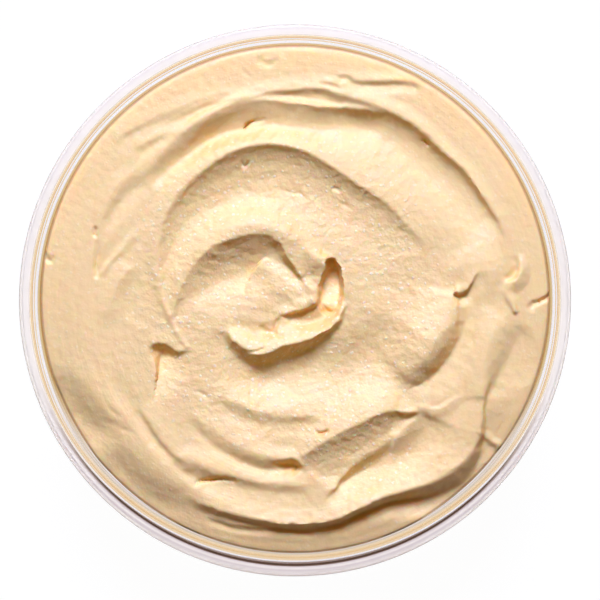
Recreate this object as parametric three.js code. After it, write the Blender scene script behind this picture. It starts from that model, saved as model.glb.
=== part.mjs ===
// Hummus in a clear round tub: two solids, the tub and the hummus that fills it.
// Millimetres, +Z up. The origin is the middle of the underside. Seen from above, +X is
// to the right and +Y to the top.
import * as THREE from 'three';
import { mergeVertices } from 'three/addons/utils/BufferGeometryUtils.js';

// ---- the tub ----
const RIM_RADIUS = 59;
const TUB_HEIGHT = 46;
const WALL = 0.8;
const DRAFT = THREE.MathUtils.degToRad(7);
const INNER_RIM_RADIUS = 56; // the inner wall carried up to the rim's top
const FLANGE_TOP = 45.2;
const RIM_EDGE_RADIUS = 0.7;
const SKIRT_BOTTOM = 42.4;
const BEAD_RADIUS = 0.38;
const FOOT_RECESS_RADIUS = 38.2;
const FOOT_RECESS = 0.8;
const OUTER_CORNER = 6;
const TUB_SEGMENTS = 64;
const TUB_COLOUR = 0xeef0f2;

// ---- the hummus ----
const HUMMUS_LEVEL = 38; // the height that the swirls rise from
const SURFACE_RADIUS = 54.6; // where the surface meets the wall, for the relief
const RINGS = 36; // rings of the surface, with six more points on each
const CORNER_STEPS = 3;
const GAP = 0.3; // between hummus and tub
// The surface sinks to the wall: a little all round, and more toward the low side at -Y.
const LOW_SIDE = { depth: 3.4, start: 44, width: 12 };
const LOW_SIDE_NARROWING = 1.5; // above 0, the larger, the less of the round sinks
const EDGE_FALL = { depth: 0.3, start: 53.8, width: 1.2 };
const HUMMUS_COLOUR = 0xf2d5a6;

// ---- the spoon strokes ----
// line: the crest or the bottom of a stroke, as [x, y] points that a smooth curve joins.
// Each size is one number, or several that are spread evenly along the line.
// A ridge rises by rise to its crest, falls over face on the side that facing names, to dig
// below its surroundings, and comes back over floor. On the other side it falls over back.
// sharp 1 makes the crest a sharp one, and roll 1 lets the floor meet the face in a crease.
// hollow 1 makes the face steepest at its crest, and hollow -1 at its foot.
// fade is the share of the line over which the stroke fades in and out, and blend is how far
// the samples of the line are averaged.
const RIGHT = -1; // of the way that the line runs
const LEFT = 1;

const ridges = {
  outerCrest: {
    line: [[-31.1, 36.4], [-26.2, 39.7], [-21, 42], [-16.1, 43.3], [-11.7, 43.9], [-7.9, 44.6],
      [-4.2, 45.1], [0.8, 45.5], [5.9, 45.6], [9.8, 44.4], [13.7, 43.1], [18.4, 41.5], [23.2, 39.3],
      [27.9, 36], [32.6, 31.5], [37, 27.4], [40.8, 22], [44.1, 16.8], [46.2, 11.2]],
    rise: [0.2, 0.4, 0.5, 0.5, 0.6, 0.6, 0.8, 0.9, 0.8, 0.3],
    face: [2, 1.2, 0.9, 1.3, 1.6, 3.4, 4.2, 3.4, 2.4, 1.4],
    back: [4, 3, 2.8, 3, 3.4, 4, 3.6, 2.6, 2.6, 2.2],
    dig: [0.1, 0.1, 0.1, 0.6, 0.5, 0.9, 1.3, 1.1, 0.8, 0.1],
    floor: [3, 2, 2, 4, 5, 6, 7, 7, 7, 5],
    facing: RIGHT,
    fade: [0.1, 0.06],
    sharp: 0.3,
    hollow: [0, 0, 0.2, 0.3, 0.5, 0.9, 1, 1, 0.9],
  },
  innerFold: {
    line: [[-34.6, 23.9], [-32.2, 28.2], [-29.2, 32], [-25.3, 35.3], [-21, 38.7], [-16.3, 41.3],
      [-11.5, 42.9], [-5.7, 43.2], [-0.1, 42.5], [5.9, 41.7], [12, 41.4], [17.6, 40.6], [22.3, 39]],
    rise: [0.2, 0.7, 1.3, 1.1, 0.9, 0.8, 0.3],
    face: [3, 4.2, 4.8, 6, 5, 4.6, 4],
    back: [3, 2.6, 2, 1.8, 1.6, 1.4, 1],
    dig: [0.2, 1.1, 2, 1.6, 1.3, 1.2, 0.6],
    floor: [3, 3.4, 3.6, 4.4, 5, 6, 6],
    facing: RIGHT,
    fade: [0.1, 0.12],
    roll: 0.4,
    hollow: [-0.1, -0.1, -0.1, 0.4, 0.8, 0.8, 0.8],
  },
  taperEdge: {
    line: [[-42.6, 4.5], [-40.2, 7.8], [-37.6, 10.8], [-35, 13.8], [-32.6, 16.8]],
    rise: [0.3, 0.3, 0.25, 0.2, 0.1],
    face: [0.8, 1, 1.4, 2],
    back: [0.9, 1.2, 2],
    dig: [0.1, 0.15, 0.1, 0],
    floor: 3,
    facing: LEFT,
    fade: [0.15, 0.4],
    sharp: 0.4,
  },
  leftRoll: {
    line: [[-34.6, 8.2], [-37.2, 5], [-39.1, 1.3], [-40.2, -2.6], [-40.6, -6.5]],
    rise: [0.3, 0.6, 0.5, 0.4, 0.2],
    face: [2, 3, 4, 5, 5],
    back: 4,
    dig: [0.1, 0.3, 0.3, 0.2, 0.1],
    floor: 5,
    facing: LEFT,
    fade: [0.15, 0.3],
    hollow: 0.3,
  },
  mainSwirl: {
    line: [[-23, -10.1], [-25.5, -6.5], [-27.7, -1.7], [-29.2, 3.2], [-29.5, 9.1], [-28.8, 14.7],
      [-27, 19.6], [-24, 24.1], [-19.5, 28.2], [-13.9, 31.7], [-8.3, 33.5], [-2.7, 33.5], [2.9, 31.7],
      [8.1, 28.7], [13.7, 25], [19.3, 21.3], [23.8, 16.8], [27.3, 12.7], [28.6, 9.1]],
    rise: [0.3, 0.4, 0.7, 1.2, 1.7, 1.6, 1.2, 0.8, 0.2],
    face: [0.7, 1, 4.5, 6.6, 7, 6.5, 5.4, 4.6, 3.4],
    back: [1, 1.4, 4, 5, 4.6, 4.6, 6, 7, 6],
    dig: [0, 0.1, 0.5, 0.9, 1.1, 1, 0.6, 0.5, 0.1],
    floor: [3, 4, 6, 8, 9, 9, 8, 8, 8],
    facing: RIGHT,
    fade: [0.01, 0.08],
    sharp: 0.15,
    hollow: [0.5, 0.5, 0.8, 1, 1, 1, 1, 1, 0.8],
  },
  swirlTip: {
    line: [[-31.8, -9.7], [-29.8, -9.2], [-28.1, -9.4], [-26.6, -10.1], [-25.1, -10.9], [-23.4, -10.8]],
    rise: [0.05, 0.15, 0.15, 0.1, 0.1, 0],
    face: [1.4, 1.9, 2, 1.5, 1],
    back: 2.4,
    dig: [0.3, 1.7, 2.4, 2.1, 1.1, 0.1],
    floor: [3, 8, 10, 9, 4],
    facing: RIGHT,
    fade: [0.1, 0.05],
    hollow: 0.4,
  },
  curl: {
    line: [[-26.4, -5.2], [-26.2, -1.7], [-25.1, 1.3], [-23.8, 4.3], [-21.7, 7.8], [-18.9, 10.6],
      [-15.6, 12.7], [-11.7, 14], [-7.9, 14.3], [-5.1, 13.8], [-3.1, 12.2], [-1.9, 9.9], [-0.8, 8],
      [0.6, 6.1], [2, 3.7]],
    rise: [0.2, 0.5, 1.1, 1.9, 2.2, 2, 1.5, 0.9, 0.4],
    face: [0.8, 1.8, 6, 8.4, 8.6, 7.2, 3.2, 1, 0.6],
    back: [2.5, 4, 6, 8, 9, 8, 5, 3, 2],
    dig: [0.1, 0.2, 0.4, 0.8, 1.1, 1.2, 0.9, 0.5, 0.3],
    floor: [3, 4, 5, 5, 5, 5, 4, 3, 2.4],
    facing: RIGHT,
    fade: [0.05, 0.06],
    hollow: [0.3, 0.5, 0.6, 0.75, 0.8, 0.8, 0.7, 0.4, 0.3],
  },
  curlShelf: {
    line: [[-19.1, 13.4], [-15.6, 15.7], [-11.7, 16.7], [-7.9, 16.9], [-4.6, 16.3], [-1.6, 14.7], [1, 12.5],
      [3.1, 10.3], [5.1, 9.1], [7, 8.8]],
    rise: [0.1, 0.4, 0.45, 0.5, 0.7, 1, 1.3, 1.6, 1.5],
    face: [2.2, 2.6, 2.6, 2.7, 3.2, 4.2, 5, 5, 3.6],
    back: [3, 5, 6, 6, 5.5, 5, 4, 3, 1.5],
    dig: 0,
    floor: 2,
    facing: RIGHT,
    fade: [0.15, 0.04],
  },
  curlLip: {
    line: [[10.8, 0], [9.9, -3], [8.2, -5.4], [5.8, -7], [3.1, -8.3], [0.3, -9.2], [-2.5, -9.8],
      [-5.1, -10.9], [-7.2, -11.5], [-9.4, -11], [-11.7, -9.6], [-13.7, -7.9], [-14.5, -5.4]],
    rise: [0.6, 1.6, 2.2, 2.4, 2.4, 1.9, 0.6],
    face: [0.8, 1.4, 2.3, 3.1, 3.3, 2.8, 1.2],
    back: [1.2, 2.4, 3.6, 5, 6, 5.5, 3],
    dig: [0, 0.4, 1.2, 1.5, 1.5, 1.1, 0.2],
    floor: [3, 4, 8, 10, 10, 7, 4],
    facing: LEFT,
    fade: [0.06, 0.06],
    sharp: 0.2,
    hollow: [0.3, 0.4, 0.4, 0.4, 0.3, 0.3, 0.5],
  },
  flap: {
    line: [[-3.1, -3.1], [-1, -2.7], [1.2, -2], [3.3, -1.3], [5.3, -0.2]],
    rise: [0.6, 1.4, 1.7, 1.4, 0.7],
    face: 0.8,
    back: [2, 2.8, 3.2, 3, 2.4],
    dig: [0.4, 0.8, 0.9, 0.7, 0.3],
    floor: 2,
    facing: RIGHT,
    fade: [0.1, 0.15],
    hollow: 0.2,
  },
  rightRoll: {
    line: [[33.9, 3], [33.1, -0.9], [31.8, -5.2], [29.8, -8.8], [27.5, -12.3], [24.9, -15.3],
      [22.3, -17.9]],
    rise: [0.2, 0.9, 2.1, 2.9, 2.7, 1.6, 0.3],
    face: [2.2, 3, 3.7, 4.2, 4.2, 3.4, 2.4],
    back: [9, 11, 12, 12, 10],
    dig: [0.2, 0.4, 0.7, 0.8, 0.6, 0.2],
    floor: [4, 5, 6, 6, 4],
    facing: LEFT,
    fade: [0.1, 0.12],
    roll: 0.3,
    hollow: -0.5,
  },
  patchTop: {
    line: [[32.6, 9.9], [35.7, 8], [39.1, 6.9], [42.6, 6.5], [45.8, 6.5]],
    rise: [0.3, 0.6, 0.7, 0.6, 0.3],
    face: [5, 8, 9, 8, 4],
    back: [4, 6, 7, 7, 4],
    dig: 0,
    floor: 2,
    facing: RIGHT,
    fade: [0.25, 0.2],
  },
  crestHook: {
    line: [[48.4, 10.3], [48.6, 8.2], [48.4, 6.2], [47.3, 4.3], [45.1, 3.7]],
    rise: [0.2, 0.6, 0.9, 0.9, 0.3],
    face: 0.8,
    back: [1.6, 2.4, 3, 3],
    dig: [0.1, 0.3, 0.6, 0.6, 0.3],
    floor: [1.5, 2],
    facing: RIGHT,
    fade: [0.25, 0.1],
    hollow: 0.3,
  },
  shoulder: {
    line: [[44.7, -2.4], [43.2, -5], [42.2, -7.5], [41.5, -10.3], [40.9, -13.1], [40.5, -15.9],
      [40.3, -18.7], [40.4, -21.3]],
    rise: [0.2, 0.6, 0.9, 1, 1, 0.9, 0.7, 0.3],
    face: [5.8, 6, 5.6, 5.2, 4.6, 3.8, 2.6, 1.6],
    back: 6,
    dig: [0.3, 0.7, 0.9, 1, 1, 0.9, 0.6, 0.2],
    floor: [4, 7, 9, 9, 7],
    facing: LEFT,
    fade: [0.1, 0.05],
    roll: 0.3,
    hollow: -0.2,
  },
  facetTop: {
    line: [[1.4, -33.8], [3.8, -32], [6.8, -30.2], [10.2, -28.3], [13.7, -26.5], [16.9, -24.9],
      [20.1, -23.8], [23, -24], [25.8, -24]],
    rise: [0.8, 1.7, 2.3, 2.6, 2.6, 2.3, 1.2, 0.4],
    face: [5, 8, 9, 9, 8.5, 7, 3.4, 1.2],
    back: [3, 5, 7, 8, 9, 8, 5, 2],
    dig: [0.3, 0.6, 0.8, 0.9, 0.9, 0.8, 0.6, 0.2],
    floor: 3,
    facing: RIGHT,
    fade: [0.03, 0.03],
    sharp: 0.2,
    hollow: 0.7,
  },
  facetFoot: {
    line: [[6.4, -42.7], [8.3, -40.7], [10.2, -38.3], [12.6, -35.9], [15.2, -33.9], [18.2, -32],
      [21.2, -29.8], [23.6, -27.9], [25.3, -26], [26.3, -23.9]],
    rise: [0.1, 0.4, 0.6, 0.5, 0.5, 0.5, 0.4, 0.3, 0.2],
    face: [0.6, 0.8, 1.1, 2.4, 4.2, 5.2, 5, 4.2, 2.4],
    back: [2.5, 2.5, 2.5, 2.5, 2.5, 2, 1.6, 1.2],
    dig: [0.2, 0.7, 1.2, 1.2, 1.2, 1.2, 1.1, 0.9, 0.4],
    floor: [4, 7, 10, 11, 10, 8],
    facing: RIGHT,
    fade: [0.05, 0.04],
    hollow: 0.5,
  },
  lowerFold: {
    line: [[-26.8, -33.8], [-24, -34.3], [-21.2, -34.9], [-18.6, -36], [-15.8, -37.1], [-12.6, -38.1],
      [-9.2, -39], [-5.7, -39.5], [-1.8, -39.7], [2, -39.9], [5.5, -40.5]],
    rise: [0.2, 0.7, 0.8, 0.5, 0.3, 0.3, 0.1],
    face: [1.4, 3, 3.2, 2, 2.2, 2.4, 2.4],
    back: [3, 4, 4.5, 4, 3.5, 3, 3],
    dig: [0.1, 0.7, 0.8, 0.7, 0.6, 0.5, 0.1],
    floor: [3, 2.8, 3, 5.5, 6, 5],
    facing: RIGHT,
    fade: [0.05, 0.12],
    hollow: [-0.2, -0.2, 0, 0.4, 0.4, 0.3, 0],
  },
  leftCrease: {
    line: [[-33.9, -22.6], [-32, -25.2], [-30.1, -28.2], [-28.1, -30.8], [-26.2, -32.8], [-23.8, -34.3]],
    rise: [0.2, 0.35, 0.4, 0.4, 0.3, 0.1],
    face: 1.1,
    back: 5,
    dig: [0.2, 0.45, 0.5, 0.5, 0.4, 0.2],
    floor: [3, 2.6, 2.4],
    facing: RIGHT,
    fade: [0.15, 0.06],
  },
  upperFurrow: {
    line: [[-18.6, -19.6], [-15.2, -20.7], [-12.2, -22.1], [-9.2, -23.4], [-6.1, -24.4], [-2.7, -24.9],
      [0.8, -25], [4.2, -24.9], [7, -24.4]],
    rise: [0.05, 0.25, 0.4, 0.35, 0.3, 0.3, 0.05],
    face: [2.2, 2.6, 2.6, 2, 1.6, 1.4],
    back: 5.5,
    dig: [0.05, 0.3, 0.4, 0.35, 0.3, 0.3, 0.05],
    floor: [3.4, 3.6, 3.6],
    facing: RIGHT,
    fade: [0.2, 0.2],
    hollow: 0.2,
  },
  lowerFurrow: {
    line: [[-23.8, -23.5], [-20.8, -25.6], [-18.2, -27.6], [-15.6, -29.3], [-13, -30.8], [-10.5, -32.1],
      [-7.9, -33.1], [-5.3, -33.9], [-2.7, -34.2], [-0.3, -34.2], [1.6, -35.8]],
    rise: [0.1, 0.4, 0.6, 0.8, 0.8, 0.7, 0.8],
    face: [1.8, 2.2, 2.8, 3, 3, 1.7, 1.1],
    back: [4, 5, 5, 4.5, 3.5, 3, 2],
    dig: [0.1, 0.3, 0.4, 0.6, 0.7, 1.5, 1.9],
    floor: [3, 2.4, 2, 2.2, 3, 3.4],
    facing: RIGHT,
    fade: [0.12, 0.03],
    hollow: [0, -0.2, -0.4, -0.4, -0.2, 0.2, 0.2],
  },
  rimRidge: {
    line: [[41.9, -17], [41.1, -20], [40.4, -23.3], [40.1, -26.5], [39, -30.4], [36.9, -33.9],
      [33.5, -36.6], [29, -39.2], [23.8, -40.8], [19.1, -42.3], [14.1, -44.6], [9.4, -46.8], [4.6, -47.8],
      [-0.8, -47.9], [-6.4, -47.4], [-11.7, -46.2], [-16.7, -44.8], [-21.2, -42.9], [-25.5, -40.9]],
    rise: [0.2, 0.6, 1.2, 2, 2.2, 2.1, 1.6, 1.3, 1, 0.4],
    face: [0.7, 0.8, 2, 4.2, 2.6, 1.5, 1.5, 1.4, 1.8, 2.6],
    back: [4, 6, 7, 7, 6.5, 6, 6, 6, 5.5, 5],
    dig: [0.2, 0.4, 0.9, 1.5, 1.5, 1.2, 0.8, 0.6, 0.5, 0.2],
    floor: [5, 6, 9, 8, 5, 3.6, 3, 2.6, 3, 3],
    facing: LEFT,
    fade: [0.03, 0.1],
    sharp: 0.75,
    hollow: [0.3, 0.3, -0.1, -0.2, -0.3, -0.2, 0, 0, 0, 0],
  },
  leftSwell: {
    line: [[-49.2, -11.2], [-46.7, -15.3], [-44.1, -18.7], [-41.1, -22], [-37.8, -25.2], [-34.2, -28.4]],
    rise: 0.25,
    face: [4, 6, 7, 6, 4],
    back: 5,
    dig: [0.3, 1.2, 1.6, 1.2, 0.4],
    floor: 13,
    facing: RIGHT,
    fade: [0.3, 0.3],
  },
  lowerSwell: {
    line: [[-38, -28], [-35.4, -31.5], [-32.6, -34.7], [-29.4, -37.5], [-25.5, -39.7], [-21.2, -40.9]],
    rise: 0.2,
    face: [4, 5, 6, 6, 4.4],
    back: 5,
    dig: [0.3, 0.7, 0.9, 0.8, 0.3],
    floor: 9,
    facing: RIGHT,
    fade: [0.3, 0.25],
  },
};

// A groove is depth deep along its line and width wide to each side. flat is the share of
// the width that stays at full depth.
const grooves = {
  bowlTop: {
    line: [[-25.5, 2.2], [-23.4, 13.4], [-15.6, 20.3], [-5.7, 23.3], [5.1, 20.9], [13.7, 14.7], [19.3, 6],
      [21, -2.2]],
    depth: [0.2, 0.6, 0.9, 0.8, 0.6, 0.4],
    width: [6, 8, 8.5, 8.5, 8],
    blend: 1.5,
  },
  bowlFloor: {
    line: [[21, -2.6], [18, -9.7], [10.9, -14.2], [1.2, -17], [-8.5, -17.7], [-15.6, -16.4],
      [-21.4, -13.4]],
    depth: [0.4, 1.6, 2.2, 1.2, 0.3, 0.1],
    width: [8, 9, 9, 7, 5, 4],
    blend: 1.5,
  },
  trough: {
    line: [[1.2, 38.4], [12, 37.3], [21.7, 33], [30.3, 25.9], [36.7, 19.4], [41.7, 13.4]],
    depth: [0.3, 0.9, 1.1, 0.8, 0.4],
    width: [4, 7, 8, 7, 6],
    blend: 1.5,
  },
  lowerTrough: {
    line: [[7.7, -40.1], [16.3, -36.6], [24.9, -31.9], [31.4, -25.9]],
    depth: [0.4, 0.9, 1, 0.4],
    width: [4, 5, 5.5],
    blend: 1.5,
  },
  curlHollow: {
    line: [[-19.7, -0.9], [-16.5, 3], [-11.3, 5.4], [-5.7, 4.7]],
    depth: [0.3, 1, 1.3, 0.6],
    width: [6, 8.5, 8.5, 5],
    blend: 1.5,
  },
  flapTrough: {
    line: [[-2.5, -4], [0.1, -4.4], [3.3, -4.4], [6.6, -3.4], [8.5, -2.4]],
    depth: [0.8, 1.3, 1.4, 1.1, 0.8],
    width: [1.6, 2, 2.1, 1.8, 1.4],
  },
  curlHole: {
    line: [[7.7, 8.2], [8.2, 6.9], [8.2, 5], [7.9, 3], [7.7, 1.1], [7.3, -0.9]],
    depth: [2.6, 3.6, 3.6, 2.8, 1.8, 0.5],
    width: [0.9, 1.5, 2.1, 2.6, 2.8, 2.6],
    fade: [0, 0],
    flat: 0.5,
  },
  lump: {
    line: [[2.5, 3.4], [3.8, 1.9], [4.2, 0.2]],
    depth: [-0.6, -1.1, -0.9],
    width: 2,
    fade: [0, 0],
  },
  pocket: {
    line: [[-4, -35.3], [-2, -35.6], [-0.1, -35.6]],
    depth: [0.5, 0.9, 0.7],
    width: [1, 1.5, 1.6],
    fade: [0, 0],
  },
  lumpBed: {
    line: [[-3.3, 7.8], [-1.8, 5.8], [-0.3, 3.9], [1.2, 1.7]],
    depth: [-0.4, -0.9, -1, -0.7],
    width: [2.2, 2.6, 2.6, 2.2],
    fade: [0, 0],
    flat: 0.25,
  },
};

const CURVE_STEP = 1; // between the samples of a stroke's line
const BLEND = 0.7; // how far the samples of a line are averaged
const FADE = [0.1, 0.1]; // the shares of a line over which it fades in and out
const END_LENGTH = 1.5; // how far a stroke reaches past the end of its line
const END_ZONE = 4;

const smooth = (share) => THREE.MathUtils.smoothstep(share, 0, 1);
const clamp = (value) => THREE.MathUtils.clamp(value, 0, 1);

// The value at a share of the way along a list of evenly spread sizes.
function sizeAt(sizes, share) {
  if (typeof sizes === 'number') return sizes;
  const place = share * (sizes.length - 1);
  const first = Math.min(Math.floor(place), sizes.length - 2);
  return THREE.MathUtils.lerp(sizes[first], sizes[first + 1], place - first);
}

// The samples of a line: their places, directions and shares of the way.
function sampleLine(line) {
  const points = line.map(([x, y]) => new THREE.Vector3(x, y, 0));
  const curve = new THREE.CatmullRomCurve3(points, false, 'catmullrom', 0.5);
  const length = curve.getLength();
  const count = Math.ceil(length / CURVE_STEP);
  const samples = [];
  for (let i = 0; i <= count; i += 1) {
    const share = i / count;
    samples.push({ share, at: curve.getPoint(share), along: curve.getTangent(share) });
  }
  return { samples, length };
}

// Where (x, y) lies beside a line: its distance to the left, the share of the way, and how
// far past an end it is. Nearby samples are averaged, which keeps the surface smooth.
function besideLine({ samples, length }, blend, x, y) {
  const squares = samples.map(({ at }) => (x - at.x) ** 2 + (y - at.y) ** 2);
  const nearest = Math.min(...squares);
  let total = 0;
  let left = 0;
  let share = 0;
  samples.forEach(({ at, along, share: own }, i) => {
    const weight = Math.exp((nearest - squares[i]) / (2 * blend * blend));
    total += weight;
    left += weight * ((y - at.y) * along.x - (x - at.x) * along.y);
    share += weight * own;
  });
  left /= total;
  share /= total;
  const ahead = ({ at, along }) => (x - at.x) * along.x + (y - at.y) * along.y;
  const before = Math.max(0, -ahead(samples[0])) * (1 - smooth((share * length) / END_ZONE));
  const after = Math.max(0, ahead(samples.at(-1))) * (1 - smooth(((1 - share) * length) / END_ZONE));
  return { left, share, past: before + after };
}

function taper(share, [start, end]) {
  const first = start > 0 ? smooth(share / start) : 1;
  const last = end > 0 ? smooth((1 - share) / end) : 1;
  return first * last;
}

// How much of its fall a face has made: evenly rounded, or steepest at the crest where
// hollow is above 0, or steepest at the foot where it is below 0.
function fallShare(out, hollow) {
  const uneven = hollow > 0 ? 1 - (1 - out) ** 3 : out ** 3;
  return THREE.MathUtils.lerp(smooth(out), uneven, Math.abs(hollow));
}

function ridgeHeight(ridge, track, x, y) {
  const { left, share, past } = besideLine(track, ridge.blend ?? BLEND, x, y);
  const inFront = left * ridge.facing;
  const rise = sizeAt(ridge.rise, share);
  const dig = sizeAt(ridge.dig, share);
  let height;
  if (inFront < 0) {
    const out = clamp(-inFront / sizeAt(ridge.back, share));
    height = rise * (1 - out) ** 2 * (1 + 2 * out * (1 - (ridge.sharp ?? 0)));
  } else {
    const face = sizeAt(ridge.face, share);
    const out = clamp((inFront - face) / sizeAt(ridge.floor, share));
    const roll = ridge.roll ?? 0;
    const back = (1 - roll) * smooth(out) + roll * (1 - (1 - out) ** 2);
    const fallen = fallShare(clamp(inFront / face), sizeAt(ridge.hollow ?? 0, share));
    height = rise - (rise + dig) * fallen + dig * back;
  }
  return height * taper(share, ridge.fade ?? FADE) * (1 - smooth(past / END_LENGTH));
}

function grooveHeight(groove, track, x, y) {
  const { left, share, past } = besideLine(track, groove.blend ?? BLEND, x, y);
  const flat = groove.flat ?? 0;
  const out = clamp(Math.hypot(left, past) / sizeAt(groove.width, share));
  const depth = sizeAt(groove.depth, share) * (1 - smooth((out - flat) / (1 - flat)));
  return -depth * taper(share, groove.fade ?? FADE);
}

function tracked(group, heightOf) {
  return Object.values(group).map((sizes) => ({ sizes, heightOf, track: sampleLine(sizes.line) }));
}

const strokes = [...tracked(ridges, ridgeHeight), ...tracked(grooves, grooveHeight)];

// The height of the hummus above the underside of the tub.
function surfaceHeight(x, y) {
  const radius = Math.max(Math.hypot(x, y), 1);
  const fall = ({ depth, start, width }) => depth * smooth((radius - start) / width);
  const towardLowSide = ((1 - y / radius) / 2) ** LOW_SIDE_NARROWING;
  const relief = strokes.reduce((sum, { sizes, heightOf, track }) => sum + heightOf(sizes, track, x, y), 0);
  return HUMMUS_LEVEL - fall(LOW_SIDE) * towardLowSide - fall(EDGE_FALL) + relief;
}

// ---- the inside of the tub ----
const innerRadius = (z) => INNER_RIM_RADIUS - (TUB_HEIGHT - z) * Math.tan(DRAFT);

// An arc as points [r, z], from one angle to another in degrees.
function arc(r, z, radius, from, to, steps) {
  const points = [];
  for (let i = 0; i <= steps; i += 1) {
    const angle = THREE.MathUtils.degToRad(THREE.MathUtils.lerp(from, to, i / steps));
    points.push([r + radius * Math.cos(angle), z + radius * Math.sin(angle)]);
  }
  return points;
}

// The rounded corner between a floor and a wall that is offset outward from the inner wall.
function corner(floor, radius, offset, steps) {
  const draft = THREE.MathUtils.radToDeg(DRAFT);
  const z = floor + radius;
  const top = z - radius * Math.sin(DRAFT);
  const r = innerRadius(top) + offset - radius * Math.cos(DRAFT);
  return arc(r, z, radius, -90, -draft, steps);
}

// ---- the solids ----
function tubGeometry() {
  const bead = INNER_RIM_RADIUS + BEAD_RADIUS;
  const edge = RIM_RADIUS - RIM_EDGE_RADIUS;
  const underFlange = FLANGE_TOP - WALL;
  const floor = FOOT_RECESS + WALL;
  const profile = [
    [0, FOOT_RECESS],
    [FOOT_RECESS_RADIUS, FOOT_RECESS],
    [FOOT_RECESS_RADIUS + FOOT_RECESS, 0],
    ...corner(0, OUTER_CORNER, WALL, 4),
    [innerRadius(underFlange) + WALL, underFlange],
    [edge, underFlange],
    [edge, SKIRT_BOTTOM],
    [RIM_RADIUS, SKIRT_BOTTOM],
    ...arc(edge, FLANGE_TOP - RIM_EDGE_RADIUS, RIM_EDGE_RADIUS, 0, 90, 3),
    [bead + BEAD_RADIUS, FLANGE_TOP],
    ...arc(bead, TUB_HEIGHT - BEAD_RADIUS, BEAD_RADIUS, 0, 180, 4),
    ...corner(floor, OUTER_CORNER - WALL, 0, 4).reverse(),
    [0, floor],
  ];
  const points = profile.map(([r, z]) => new THREE.Vector2(r, z));
  return new THREE.LatheGeometry(points, TUB_SEGMENTS).rotateX(Math.PI / 2);
}

// A round sheet of triangles: a middle point and rings, the one numbered ring with six
// times ring points. pointAt gives the point at a ring and an angle.
function roundSheet(rings, pointAt) {
  const positions = [...pointAt(0, 0)];
  const indices = [];
  const firstOf = (ring) => (ring === 0 ? 0 : 1 + 3 * ring * (ring - 1));
  const indexOf = (ring, step) => (ring === 0 ? 0 : firstOf(ring) + (step % (6 * ring)));
  for (let ring = 1; ring <= rings; ring += 1) {
    for (let step = 0; step < 6 * ring; step += 1) {
      positions.push(...pointAt(ring, (step * Math.PI) / (3 * ring)));
      const inner = step - Math.floor(step / ring);
      indices.push(indexOf(ring - 1, inner), indexOf(ring, step), indexOf(ring, step + 1));
      if (step % ring < ring - 1) {
        indices.push(indexOf(ring - 1, inner), indexOf(ring, step + 1), indexOf(ring - 1, inner + 1));
      }
    }
  }
  return { positions, indices, edge: firstOf(rings), around: 6 * rings };
}

function hummusGeometry() {
  const wall = (z) => innerRadius(z) - GAP;
  const heightAt = (r, angle) => surfaceHeight(r * Math.cos(angle), r * Math.sin(angle));
  const edgeHeight = (angle) => heightAt(SURFACE_RADIUS, angle);
  const { positions, indices, edge, around } = roundSheet(RINGS, (ring, angle) => {
    const r = (wall(edgeHeight(angle)) * ring) / RINGS;
    const height = ring === RINGS ? edgeHeight(angle) : heightAt(r, angle);
    return [r * Math.cos(angle), r * Math.sin(angle), height];
  });
  const floor = FOOT_RECESS + WALL + GAP;
  const rows = corner(floor, OUTER_CORNER - WALL - GAP, -GAP, CORNER_STEPS).reverse();
  let above = edge;
  for (const [r, z] of rows) {
    const row = positions.length / 3;
    for (let step = 0; step < around; step += 1) {
      const angle = (step * 2 * Math.PI) / around;
      const next = (step + 1) % around;
      positions.push(r * Math.cos(angle), r * Math.sin(angle), z);
      indices.push(above + step, row + step, row + next);
      indices.push(above + step, row + next, above + next);
    }
    above = row;
  }
  const middle = positions.length / 3;
  positions.push(0, 0, floor);
  for (let step = 0; step < around; step += 1) {
    indices.push(above + step, middle, above + ((step + 1) % around));
  }
  const geometry = new THREE.BufferGeometry();
  geometry.setAttribute('position', new THREE.Float32BufferAttribute(positions, 3));
  geometry.setIndex(indices);
  return geometry;
}

function clearPlastic() {
  return new THREE.MeshStandardMaterial({ color: TUB_COLOUR, roughness: 0.08, metalness: 0 });
}

function hummusPaste() {
  return new THREE.MeshStandardMaterial({ color: HUMMUS_COLOUR, roughness: 0.55, metalness: 0 });
}

function solid(name, geometry, material) {
  geometry.deleteAttribute('normal');
  geometry.deleteAttribute('uv');
  const merged = mergeVertices(geometry);
  merged.computeVertexNormals();
  const mesh = new THREE.Mesh(merged, material);
  mesh.name = name;
  return mesh;
}

const part = new THREE.Group();
part.add(solid('tub', tubGeometry(), clearPlastic()));
part.add(solid('hummus', hummusGeometry(), hummusPaste()));

export default part;
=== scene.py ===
"""A round clear tub filled with hummus that a spoon has swirled."""
import math

import bpy
import numpy as np
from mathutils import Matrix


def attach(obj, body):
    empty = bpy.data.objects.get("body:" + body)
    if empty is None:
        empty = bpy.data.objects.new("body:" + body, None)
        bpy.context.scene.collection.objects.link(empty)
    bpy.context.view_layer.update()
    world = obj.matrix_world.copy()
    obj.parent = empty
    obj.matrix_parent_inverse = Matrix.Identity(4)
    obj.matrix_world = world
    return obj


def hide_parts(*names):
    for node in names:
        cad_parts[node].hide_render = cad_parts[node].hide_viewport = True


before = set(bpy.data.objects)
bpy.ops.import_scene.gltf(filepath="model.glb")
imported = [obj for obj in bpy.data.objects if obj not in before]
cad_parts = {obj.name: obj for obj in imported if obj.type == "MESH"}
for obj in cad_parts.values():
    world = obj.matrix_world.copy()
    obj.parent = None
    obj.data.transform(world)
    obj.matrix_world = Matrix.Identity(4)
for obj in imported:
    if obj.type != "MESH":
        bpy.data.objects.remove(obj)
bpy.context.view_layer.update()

MM = 0.001  # sizes below are in millimetres, and Blender's are in metres

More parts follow.
